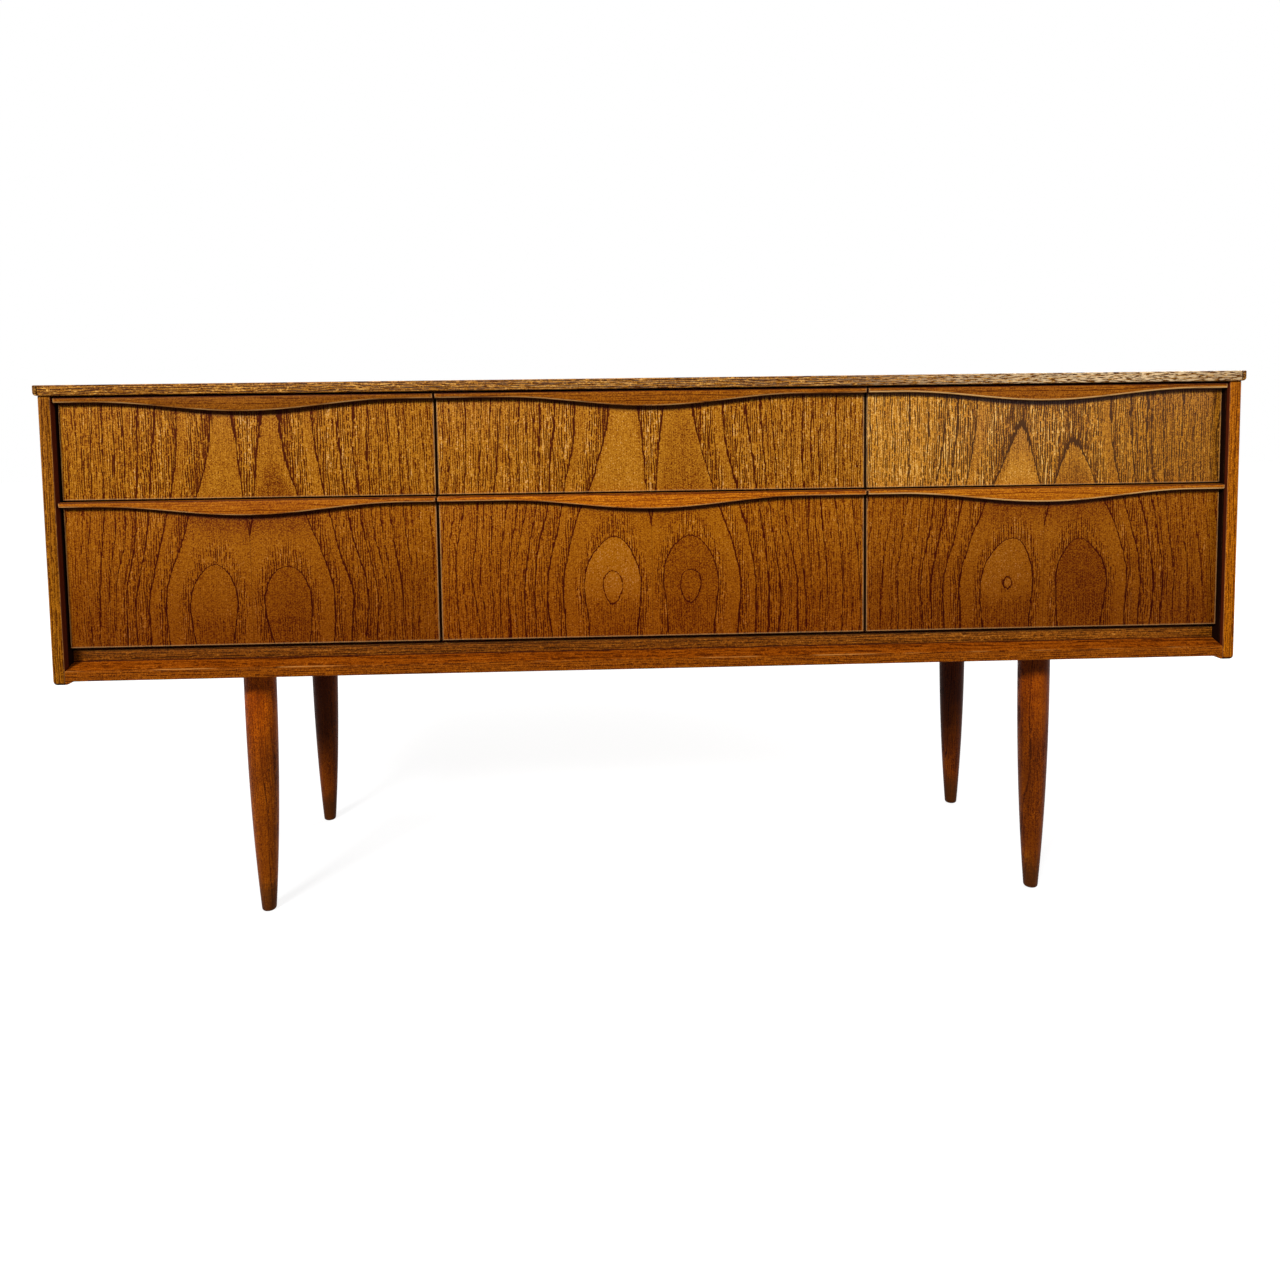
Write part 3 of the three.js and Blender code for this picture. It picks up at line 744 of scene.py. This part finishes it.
def rail_finish():
    """The bottom rail: a bevel painted lighter and warmer as painted light on its upward face, and a
    painted highlight here and there along its arris.
    """
    n = Finish("rail_teak")
    x, y, z = n.place()
    colour, pores = straight_teak(n, (z, y, x), RAIL_TONES, seed=19.0, pitch=6.0, hatch=0.7)
    bevel = n.ease(z, ARRIS_HEIGHT - 0.5, ARRIS_HEIGHT + 1.5)
    # Painted light on the upward bevel.
    colour = n.blend(n.scaled(bevel, 0.5), colour, n.tint(colour, (1.42, 1.18, 1.2, 1.0)))
    patches = n.noise((x, 70), 4.2, detail=3.0)
    line = n.fade(n.apart(z, ARRIS_HEIGHT), 0.2, 0.8)
    # Painted highlight in patches along the arris.
    wear_and_highlight = n.times(line, n.ease(patches, 0.48, 0.66, 0.0, 0.7))
    return teak_polish(n, n.blend(wear_and_highlight, colour, paint(206, 138, 66)), pores, gloss=(0.40, 0.03))


def plinth_finish():
    """The plinth, lighter to the right, with a painted highlight along its upper edge and painted shade
    along its foot.
    """
    n = Finish("plinth_teak")
    x, y, z = n.place()
    grain = dict(seed=27.0, pitch=5.0, length=10.0, hatch=0.8)
    colour, pores = straight_teak(n, (z, y, x), PLINTH_TONES, **grain)
    low, high = node_box("plinth_rail")
    colour = n.tint(colour, n.blend(n.ease(x, -100.0, 600.0), PLAIN, (1.4, 1.5, 1.7, 1.0)))
    # Painted highlight along the upper edge.
    colour = n.blend(n.ease(z, high[2] - 1.6, high[2] - 0.4, 0.0, 0.5), colour, paint(176, 128, 70))
    # Painted shade along the foot, in the crease with the rail.
    colour = n.blend(n.fade(z, low[2] + 0.8, low[2] + 1.7, 0.9), colour, PAINTED_SHADE)
    return teak_polish(n, colour, pores, gloss=(0.42, 0.05))


# How wide the pale band along each column's pulls' lower arris is, partly wear and partly a painted
# highlight, and how a slow noise turns into it there: between which two of its levels, and how much
# at each.
ARRIS_WEAR_AND_HIGHLIGHT = {
    "left": (0.9, (0.38, 0.6, 0.1, 0.6)),
    "middle": (0.9, (0.38, 0.6, 0.1, 0.6)),
    "right": (1.3, (0.34, 0.5, 0.3, 1.0)),
}


def pull_finish(row, column, tones, cast, seed):
    """A pull's teak: its wavy lower arris worn pale and painted with a highlight, its ends painted pale as
    highlights, and painted shade in the gaps round it, underneath and behind.
    """
    n = Finish(f"{row}_{column}_pull_teak")
    x, y, z = n.place()
    low, high = node_box(f"{row}_{column}_drawer_pull")
    colour, pores = straight_teak(n, (z, y, x), tones, seed, pitch=7.0, hatch=0.5, cloud=0.25)
    colour = n.tint(colour, (*cast, 1.0))
    lift = n.math("SUBTRACT", z, pull_edge(n, x, row, column)[1])
    reach, patchiness = ARRIS_WEAR_AND_HIGHLIGHT[column]
    # Pale band along the lower arris: partly wear, partly painted highlight.
    wear_and_highlight = n.times(n.fade(lift, reach, reach + 1.1), n.ease(n.noise((x, 90), seed), *patchiness))
    # Painted highlight on the ends.
    ends = n.scaled(n.near_edges({"X": x}, low, high, 2.6), 0.4)
    colour = n.blend(n.math("MAXIMUM", wear_and_highlight, ends), colour, paint(226, 176, 108))
    # Painted shade along the top and ends, in the gaps round the pull.
    upper = n.ease(z, high[2] - 1.5, high[2] - 0.7)
    gap = n.math("MAXIMUM", upper, n.near_edges({"X": x}, low, high, 1.2))
    colour = n.blend(n.times(gap, n.fade(y, low[1] + 0.8, low[1] + 1.8, 0.9)), colour, PAINTED_SHADE)
    # Painted shade on the underside and back, in the finger hollow.
    under = n.times(n.ease(y, low[1] + 0.9, low[1] + 2.0), n.fade(z, high[2] - 2.0, high[2] - 0.8))
    return teak_polish(n, n.blend(under, colour, PAINTED_SHADE), pores, gloss=(0.40, 0.04))


def leg_finish():
    """Turned teak: blotched with polish, dark and scuffed with faint rings round the foot; painted light
    and shade make it lighter at the head and darker on the right and rear legs.
    """
    n = Finish("leg_teak")
    x, y, z = n.place()
    porous, brown, line = straight_rings(n, (x, y, z), pitch=8.0, seed=34.0)
    rings = (porous, brown, n.scaled(line, 0.35))
    colour, pores = teak(n, rings, (x, y, z), LEG_TONES, seed=34.0, hatch=0.4, cloud=0.9)
    patch = n.noise((x, 16), (y, 16), (z, 45), detail=3.0)
    colour = n.blend(n.ease(patch, 0.42, 0.62, 0.0, 0.45), colour, paint(106, 50, 3))
    marks = n.noise((x, 3), (y, 3), (z, 3))
    colour = n.blend(n.ease(marks, 0.68, 0.72, 0.0, 0.7), colour, paint(58, 24, 2))
    # Painted light and shade: lighter towards the head of the leg, darker below.
    head = n.ease(z, 180.0, 325.0)
    colour = n.tint(colour, n.blend(head, (0.8, 0.65, 0.4, 1.0), (1.5, 1.1, 0.45, 1.0)))
    # Painted shade on the right legs.
    right_leg_shade = n.blend(head, (0.68, 0.61, 0.47, 1.0), (0.52, 0.48, 0.4, 1.0))
    colour = n.tint(colour, n.blend(n.on_right(x), PLAIN, right_leg_shade))
    # Painted shade on the rear legs.
    rear_leg_shade = n.blend(n.ease(z, 60.0, 200.0), (0.66, 0.6, 0.47, 1.0), (0.4, 0.33, 0.3, 1.0))
    colour = n.blend(n.ease(y, -30.0, 30.0), colour, n.tint(colour, rear_leg_shade))
    scuff = n.noise((x, 5), (y, 5), (z, 6), detail=3.0, rough=0.7)
    foot = n.fade(n.math("ADD", z, n.swing(scuff, 50.0)), 22.0, 60.0)
    colour = n.blend(n.scaled(foot, 0.75), colour, paint(58, 30, 6))
    groove = n.fade(n.apart(n.math("FRACT", n.scaled(z, 1 / 9)), 0.5), 0.02, 0.10)
    groove = n.times(groove, n.fade(z, 24.0, 52.0))
    colour = n.blend(n.scaled(groove, 0.3), colour, paint(50, 24, 4))
    return teak_polish(n, colour, pores, gloss=(0.38, 0.05), scuffed=n.scaled(foot, 0.5))


def pale_finish(name, along, ground, shade, seed):
    """Unpolished pale hardwood: soft rings and fine fibres along one axis."""
    n = Finish(name)
    axes = dict(zip("XYZ", n.place()))
    a, b = [axes[k] for k in "XYZ" if k != along]
    run = axes[along]
    bend = n.noise((a, 50), (b, 50, seed), (run, 300))
    tooth = n.math("FRACT", n.scaled(bend, 9.0))
    fibre = n.noise((a, 0.9), (b, 0.9, seed), (run, 30))
    mood = n.math("ADD", n.scaled(tooth, 0.5), n.swing(fibre, 0.8), clamp=True)
    roughness = n.scaled(fibre, 0.2, 0.5)
    return n.polish(n.blend(mood, ground, shade), roughness, fibre, depth=0.05, gloss=0.25)


def pale_wood(name, axes, ground, shade, seed):
    """One pale wood, as a finish for each axis that its grain runs along."""
    return {axis: pale_finish(f"{name}_along_{axis}", axis, ground, shade, seed) for axis in axes}


def steel_finish():
    """Dull zinc-plated steel with a faint mottle."""
    n = Finish("zinc_plated_steel")
    x, y, z = n.place()
    mottle = n.noise((x, 1.5), (y, 1.5), (z, 1.5), detail=3.0)
    colour = n.blend(mottle, paint(150, 146, 136), paint(188, 184, 174))
    return n.surface({"Base Color": colour, "Metallic": 1.0, "Roughness": n.scaled(mottle, 0.3, 0.25)})


fronts = {(row, column): front_finish(row, column) for row in ROWS for column in COLUMNS}
PULL_CASTS = {
    ("upper", "left"): (0.92, 0.92, 0.9),
    ("upper", "middle"): (1.16, 1.14, 1.1),
    ("upper", "right"): (1.18, 1.16, 1.0),
    ("lower", "left"): (0.86, 0.86, 0.9),
    ("lower", "middle"): (1.14, 1.14, 0.9),
    ("lower", "right"): (1.05, 1.12, 0.8),
}
pulls = {
    (row, column): pull_finish(row, column, DARK_PULL_TONES if row == "upper" else PULL_TONES, cast, seed)
    for seed, ((row, column), cast) in enumerate(PULL_CASTS.items(), 2)
}
edge_teak = top_lipping_finish()
back_edge_teak = straight_finish(
    "top_back_lipping_teak", "Z", "X", EDGE_TONES, seed=10.0, pitch=4.0, gloss=(0.42, 0.04)
)
end_teak = straight_finish("top_end_lipping_teak", "Z", "Y", EDGE_TONES, seed=12.0, pitch=4.0)
top_teak = top_finish()
side_teak = side_finish("side_teak_veneer", SIDE_TONES, seed=24.0, lipping=False)
side_edge_teak = side_finish("side_lipping_teak", LIPPING_TONES, seed=29.0, lipping=True)
bottom_teak = straight_finish("bottom_board_teak", "Y", "X", RAIL_TONES, seed=17.0, pitch=14.0)
rail_teak = rail_finish()
plinth_teak = plinth_finish()
leg_teak = leg_finish()
steel = steel_finish()
box_wood = pale_wood("pale_hardwood", "XYZ", paint(206, 168, 116), paint(176, 132, 80), seed=40.0)
ply_wood = pale_wood("plywood", "XZ", paint(196, 148, 92), paint(168, 118, 66), seed=50.0)


# ---------------------------------------------------------------- case

top_low, top_high = node_box("top_board")
LIP = 6.0  # width of the solid lipping round the veneered top
JOINT = 0.25  # rounding of edges that meet in a glued joint


def top_pieces():
    """Veneered core with a lipping along the front and back and one across each end."""
    (x0, y0, z0), (x1, y1, z1) = top_low, top_high
    core = rectangle(y0 + LIP, z0, y1 - LIP, z1)
    core = prism(core, JOINT, "X", x0 + LIP, x1 - LIP, JOINT)
    make("top_veneered_board", core, top_teak, "case", "teak_veneer", ["top_board"])
    front = rectangle(y0, z0, y0 + LIP, z1)
    front = prism(front, [1.5, JOINT, JOINT, 1.2], "X", x0 + LIP, x1 - LIP, JOINT)
    make("top_front_lipping", front, edge_teak, "case", "teak_solid")
    rear = rectangle(y1 - LIP, z0, y1, z1)
    rear = prism(rear, [JOINT, 0.8, 1.2, JOINT], "X", x0 + LIP, x1 - LIP, JOINT)
    make("top_back_lipping", rear, back_edge_teak, "case", "teak_solid")
    for side, end in SIDES.items():
        inner, outer = (x0 + LIP, x0) if end < 0 else (x1 - LIP, x1)
        outline = rectangle(inner, z0, outer, z1)
        lipping = prism(outline, [JOINT, 4.2, 1.2, JOINT], "Y", y0, y1, 1.2)
        make(f"top_{side}_lipping", lipping, end_teak, "case", "teak_solid")


SIDE_LIP = 8.0  # depth of the solid strip on a side panel's front edge


def side_pieces(side, end):
    """A veneered side and the solid lipping on its front edge; the foot's outer corner is round."""
    node = f"{side}_side_panel"
    low, high = node_box(node)
    inner, outer = (high[0], low[0]) if end < 0 else (low[0], high[0])
    outline = rectangle(inner, low[2], outer, high[2])
    radii = [1.0, 5.0, 0.8, 0.8]
    panel = prism(outline, radii, "Y", low[1] + SIDE_LIP, high[1], JOINT)
    make(f"{side}_veneered_side", panel, side_teak, "case", "teak_veneer", [node])
    lipping = prism(outline, radii, "Y", low[1], low[1] + SIDE_LIP, 0.8)
    make(f"{side}_side_lipping", lipping, side_edge_teak, "case", "teak_solid")


def rail_shape():
    """The bottom rail's section carried along X, its lower edge falling to the sides at both ends.

    The fall is drop (1 + cos(pi t)) / 2, with t the distance from the side over the ear's length.
    """
    low, high = rail_low, rail_high
    base = low[2] + SIDE_DROP
    plinth_front = node_box("plinth_rail")[0][1]
    bevel = [(plinth_front, high[2]), (low[1], ARRIS_HEIGHT)]
    outline = [(low[1], base), (high[1], base), (high[1], high[2]), *bevel]
    points = round_outline(outline, [1.2, 0.6, 0.6, 0.2, 0.9])[0]
    ear = np.linspace(0, EAR_LENGTH, 13)
    runs = np.concatenate([low[0] + ear, high[0] - ear[::-1]])
    t = np.clip(np.minimum(runs - low[0], high[0] - runs) / EAR_LENGTH, 0, 1)
    fall = SIDE_DROP * (1 + np.cos(math.pi * t)) / 2
    lower = (points[:, 1] < base + 2)[:, None] * np.array([0, 1])
    return skin(place(points[None] - fall[:, None, None] * lower[None], runs, "X"))


# The back's screws: a head's radius, slot and height; how far the outer screws are from the back's
# sides or an upright's foot, and from an upright's head; and how many there are in a row.
HEAD_RADIUS, HEAD_SLOT, HEAD_HEIGHT = 3.6, 1.0, 0.8
SCREW_INSET, HEAD_INSET = 40.0, 25.0
FOOT_SCREWS, UPRIGHT_SCREWS = 9, 4


def screw_shape(x, y, z):
    """A slotted screw head on a face at y: two D shapes on a thin disc, with every edge eased."""
    start = math.asin(HEAD_SLOT / 2 / HEAD_RADIUS)
    arc = np.linspace(start, math.pi - start, 13)
    half = np.stack([HEAD_RADIUS * np.cos(arc), HEAD_RADIUS * np.sin(arc)], 1)
    circle = np.linspace(0, 2 * math.pi, 28, endpoint=False)
    disc = np.stack([HEAD_RADIUS * np.cos(circle), HEAD_RADIUS * np.sin(circle)], 1) * 0.98
    middle = np.array([x, z])
    upper = prism(middle + half, 0, "Y", y - 0.4, y + HEAD_HEIGHT, 0.25, 2)
    lower = prism(middle - half, 0, "Y", y - 0.4, y + HEAD_HEIGHT, 0.25, 2)
    return join(upper, lower, prism(middle + disc, 0, "Y", y - 0.5, y + 0.2, 0.1, 2))


def back_screws():
    """Screws through the back into the bottom board and into both uprights."""
    low, high = node_box("back_panel")
    foot = (low[2] + rail_high[2]) / 2
    places = [(x, foot) for x in np.linspace(low[0] + SCREW_INSET, high[0] - SCREW_INSET, FOOT_SCREWS)]
    for side in SIDES:
        upright_low, upright_high = node_box(f"{side}_divider")
        middle = (upright_low[0] + upright_high[0]) / 2
        heights = np.linspace(upright_low[2] + SCREW_INSET, upright_high[2] - HEAD_INSET, UPRIGHT_SCREWS)
        places += [(middle, z) for z in heights]
    screws = join(*[screw_shape(x, high[1], z) for x, z in places])
    make("back_panel_screws", screws, steel, "case", "pale_hardwood", sharp=40)


top_pieces()
for side, end in SIDES.items():
    side_pieces(side, end)
make("bottom_front_strip", rail_shape(), rail_teak, "case", "teak_rail", ["bottom_front_rail"])
for node, piece, material, slot, along in (
    ("plinth_rail", "plinth_strip", plinth_teak, "teak_rail", "X"),
    ("bottom_board", "bottom_panel", bottom_teak, "teak_veneer", "X"),
    ("left_divider", "left_upright", box_wood["Z"], "pale_hardwood", "Z"),
    ("right_divider", "right_upright", box_wood["Z"], "pale_hardwood", "Z"),
    ("left_divider_bearer", "left_middle_bearer", box_wood["Y"], "pale_hardwood", "Y"),
    ("right_divider_bearer", "right_middle_bearer", box_wood["Y"], "pale_hardwood", "Y"),
    ("left_side_bearer", "left_end_bearer", box_wood["Y"], "pale_hardwood", "Y"),
    ("right_side_bearer", "right_end_bearer", box_wood["Y"], "pale_hardwood", "Y"),
    ("back_panel", "plywood_back", ply_wood["Z"], "plywood", "Z"),
):
    low, high = node_box(node)
    make(piece, board(low, high, along, 0.6, 0.4), material, "case", slot, [node])
for column in COLUMNS:
    for side in SIDES:
        node = f"{column}_column_{side}_runner"
        low, high = node_box(node)
        strip = board(low, high, "Y", 1.0, 1.0)
        make(f"{column}_column_{side}_strip", strip, box_wood["Y"], "case", "pale_hardwood", [node])
back_screws()


# ---------------------------------------------------------------- legs

FOOT_RADIUS, LEG_RADIUS, LEG_POWER, FOOT_ROUND = 9.2, 20.8, 2.4, 3.5
LEG_LENGTH, TENON_RADIUS, TENON_LENGTH = 340.0, 11.0, 14.0
LEG_SEGMENTS = 64


def leg_shape(x, y):
    """A turned leg with a rounded foot and a tenon.

    At a height z its radius is foot + (top - foot) (1 - (1 - z / length)^2.4).
    """
    arc = np.linspace(0, math.pi / 2, 6)
    foot_z = FOOT_ROUND * (1 - np.cos(arc))
    stem_z = np.linspace(FOOT_ROUND, LEG_LENGTH - 1.0, 40)[1:]
    z = np.concatenate([foot_z, stem_z])
    radius = FOOT_RADIUS + (LEG_RADIUS - FOOT_RADIUS) * (1 - (1 - z / LEG_LENGTH) ** LEG_POWER)
    radius[: len(arc)] -= FOOT_ROUND * (1 - np.sin(arc))
    z = np.concatenate([z, [LEG_LENGTH - 0.3, LEG_LENGTH, LEG_LENGTH, LEG_LENGTH + TENON_LENGTH]])
    radius = np.concatenate([radius, [radius[-1] - 0.3, radius[-1] - 1.0, TENON_RADIUS, TENON_RADIUS]])
    turn = np.linspace(0, 2 * math.pi, LEG_SEGMENTS, endpoint=False)
    flat = np.stack([x + radius[:, None] * np.cos(turn), y + radius[:, None] * np.sin(turn)], -1)
    return skin(place(flat, z, "Z"))


for corner in ("front_left", "front_right", "back_left", "back_right"):
    low, high = node_box(f"{corner}_leg")
    x, y = (low[:2] + high[:2]) / 2
    leg = leg_shape(x, y)
    make(f"{corner}_turned_leg", leg, leg_teak, "case", "teak_leg", [f"{corner}_leg"], sharp=50)


# ---------------------------------------------------------------- drawers

# A pull's lip and the cove behind it, the radii of its edges, how far the wave has dropped where the
# cove reaches its full size, and the half depth and half height of its end, which is rounded.
LIP_DEPTH, COVE = 5.0, 4.0
NOSE, TAIL, PULL_EASE = 2.0, 1.6, 1.2
COVE_DROP = 6.5
END_HALVES = np.array([5.5, 3.2])


def pull_shape(x0, x1, face, back, top):
    """A pull whose lower edge hangs 6.3 + 13 (1 + cos(pi x / 192)) / 2 below its top.

    The section is a rounded lip with a finger hollow behind it. Its height is drawn down by the
    wave, so the hollow runs out where the wave ends. Every rounding is a quarter circle.
    """
    middle = (x0 + x1) / 2
    ends, inset = quarter_stations(x0, x1, PULL_EASE)
    left, right = np.split(ends, 2)
    wave_runs = np.linspace(middle - HALF_WAVE, middle + HALF_WAVE, 121)
    runs = np.concatenate([left, wave_runs, right])
    inset = np.insert(inset, len(left), np.zeros_like(wave_runs))[:, None, None]
    wave = np.clip(np.abs(runs - middle) / HALF_WAVE, 0, 1)[:, None]
    drop = (PULL_MIDDLE - PULL_END) * (1 + np.cos(math.pi * wave)) / 2
    upper = np.full_like(drop, top)
    ceiling = upper - PULL_END
    low = ceiling - drop
    share = np.clip(drop / COVE_DROP, 0, 1)
    arc = np.linspace(0, math.pi / 2, 6)
    sin, cos = np.sin(arc), np.cos(arc)
    section = [
        (face + NOSE * (1 - cos), low + NOSE * (1 - sin)),
        (face + LIP_DEPTH - TAIL * (1 - sin), low + share * TAIL * (1 - cos)),
        (face + LIP_DEPTH + COVE * (1 - cos), ceiling - share * COVE * (1 - sin)),
        (np.full(2, back), np.concatenate([ceiling, upper], 1)),
        (face + PULL_EASE * (1 - sin), upper - PULL_EASE * (1 - cos)),
    ]
    depth, height = zip(*[np.broadcast_arrays(*part) for part in section])
    flat = np.stack([np.concatenate(depth, 1), np.concatenate(height, 1)], -1)
    centre = flat.mean(1, keepdims=True)
    return skin(place(centre + (flat - centre) * (1 - inset / END_HALVES), runs, "X"))


# The groove for a drawer's bottom, and the rounding of its sides' and back's top edges.
GROOVE_DEPTH, GROOVE_GAP, TOP_ROUND = 5.0, 0.25, 3.2


def box_side_shape(low, high, floor_low, floor_high, inward):
    """A drawer side grooved for the bottom, with a rounded top edge."""
    outer, inner = (low[0], high[0]) if inward > 0 else (high[0], low[0])
    groove = inner - inward * GROOVE_DEPTH
    slot = (floor_low[2], floor_high[2] + GROOVE_GAP)
    outline = [
        (outer, low[2]), (inner, low[2]), (inner, slot[0]), (groove, slot[0]),
        (groove, slot[1]), (inner, slot[1]), (inner, high[2]), (outer, high[2]),
    ]
    radii = [0.8, 0.8, 0.3, 0.1, 0.1, 0.3, TOP_ROUND, TOP_ROUND]
    return prism(outline, radii, "Y", low[1], high[1], 0.4)


def drawer_pieces(row, column):
    """Front, pull, two sides, back and bottom of one drawer, which slides by itself."""
    name = f"{row}_{column}_drawer"

    def fit(piece, shape, material, slot, node, **more):
        make(f"{name}_{piece}", shape, material, name, slot, [f"{name}_{node}"], **more)

    low, high = node_box(f"{name}_front")
    front = board(low, high, "Z", 0.5, 0.5)
    fit("veneered_front", front, fronts[row, column], "teak_veneer", "front")
    pull_low, pull_high = node_box(f"{name}_pull")
    pull = pull_shape(pull_low[0], pull_high[0], pull_low[1], pull_high[1], pull_high[2])
    fit("wave_pull", pull, pulls[row, column], "teak_solid", "pull", sharp=40)
    floor_low, floor_high = node_box(f"{name}_bottom")
    for side, end in SIDES.items():
        shape = box_side_shape(*node_box(f"{name}_{side}_side"), floor_low, floor_high, -end)
        fit(f"{side}_grooved_side", shape, box_wood["Y"], "pale_hardwood", f"{side}_side")
    low, high = node_box(f"{name}_back")
    outline = rectangle(low[1], low[2], high[1], high[2])
    back = prism(outline, [0.5, 0.5, TOP_ROUND, TOP_ROUND], "X", low[0], high[0], 0.2)
    fit("rounded_back", back, box_wood["X"], "pale_hardwood", "back")
    floor = board(floor_low, floor_high, "X", 0.3, 0.3)
    fit("plywood_floor", floor, ply_wood["X"], "plywood", "bottom")


for row in ROWS:
    for column in COLUMNS:
        drawer_pieces(row, column)


# ---------------------------------------------------------------- floor, light and camera

# The camera's place, how far it is turned, dipped and leaning, and its lens and shift.
CAMERA_PLACE = Vector((-0.0737, -1.4371, 0.6498))
CAMERA_TURN, CAMERA_DIP, CAMERA_LEAN = 0.034, 0.069, 0.014
CAMERA_LENS = 27.03
CAMERA_SHIFT = (0.0095, -0.1145)
FLOOR_REACH = 12.0
ROOM_LIGHT = 0.04

# Each lamp's place and target, its width and height, in metres, and its power in watts.
LAMPS = {
    "key_lamp": ((-3.4, -6.4, 4.2), (0.0, -0.2, 0.5), (2.2, 1.0), 640),
    "fill_lamp": ((4.6, -3.2, 2.8), (0.0, -0.1, 0.5), (1.6, 1.2), 95),
    "top_lamp": ((0.0, 0.5, 3.4), (0.0, 0.1, 0.7), (2.4, 0.8), 24),
    "sheen_lamp": ((0.95, -1.55, 0.72), (0.4, -0.22, 0.63), (0.5, 0.35), 3),
    "back_lamp": ((2.6, 3.2, 2.0), (0.0, 0.0, 0.5), (2.0, 1.4), 90),
}


def add_camera():
    """A camera turned, dipped and leaning by small angles, in radians, from looking along +Y."""
    data = bpy.data.cameras.new("camera")
    camera = put("camera", data)
    flat = math.cos(CAMERA_DIP)
    ahead = Vector((math.sin(CAMERA_TURN) * flat, math.cos(CAMERA_TURN) * flat, -math.sin(CAMERA_DIP)))
    right = Vector((math.cos(CAMERA_TURN), -math.sin(CAMERA_TURN), 0))
    down = ahead.cross(right)
    level = math.cos(CAMERA_LEAN) * right + math.sin(CAMERA_LEAN) * down
    fall = -math.sin(CAMERA_LEAN) * right + math.cos(CAMERA_LEAN) * down
    turn = Matrix((level, -fall, -ahead)).transposed()
    camera.matrix_world = Matrix.Translation(CAMERA_PLACE) @ turn.to_4x4()
    data.sensor_width = 36.0
    data.lens = CAMERA_LENS
    data.shift_x, data.shift_y = CAMERA_SHIFT
    data.clip_start = 0.02
    bpy.context.scene.camera = camera


def add_lamp(name, place, target, size, power):
    """A rectangular lamp that points from its place to a target."""
    data = bpy.data.lights.new(name, "AREA")
    data.shape = "RECTANGLE"
    data.size, data.size_y = size
    data.energy = power
    lamp = put(name, data)
    lamp.location = place
    lamp.rotation_euler = (Vector(target) - Vector(place)).to_track_quat("-Z", "Y").to_euler()
    return lamp


def seen(n):
    """1 for what the camera, glossy surfaces and clear ones see, and 0 for light on a surface."""
    ray = n.add("LightPath").outputs
    return n.chain("MAXIMUM", ray["Is Camera Ray"], ray["Is Glossy Ray"], ray["Is Transmission Ray"])


def add_floor():
    """A grey floor that is white to the camera, and a little less so near the object."""
    n = Finish("pale_floor")
    matt = n.add("BsdfDiffuse", {"Color": (0.28, 0.28, 0.28, 1)})
    x, y, _ = n.place()
    far = n.math("SQRT", n.total(n.times(x, x), n.times(y, y)))
    strength = n.ease(far, 500.0, 1600.0, 0.84, 1.0)
    glow = n.add("Emission", {"Color": PLAIN, "Strength": n.times(seen(n), strength)})
    both = n.add("AddShader", {0: matt.outputs[0], 1: glow.outputs[0]})
    n.add("OutputMaterial", {0: both.outputs[0]})
    corners = [(*corner, 0) for corner in rectangle(-FLOOR_REACH, -FLOOR_REACH, FLOOR_REACH, FLOOR_REACH)]
    mesh = bpy.data.meshes.new("floor")
    mesh.from_pydata(corners, [], [(0, 1, 2, 3)])
    mesh.materials.append(n.made)
    put("floor", mesh)


def add_world():
    """A dim white room, which the camera and glossy surfaces see as plain white."""
    n = Finish("studio", world=True)
    bpy.context.scene.world = n.made
    dim, white = [n.add("Background", {0: PLAIN, 1: light}).outputs[0] for light in (ROOM_LIGHT, 1.0)]
    n.add("OutputWorld", {0: n.add("MixShader", {0: seen(n), 1: dim, 2: white}).outputs[0]})


add_camera()
add_floor()
add_world()
lamps = {name: add_lamp(name, *settings) for name, settings in LAMPS.items()}
lamps["sheen_lamp"].visible_diffuse = False
bpy.context.scene.view_settings.view_transform = "Standard"
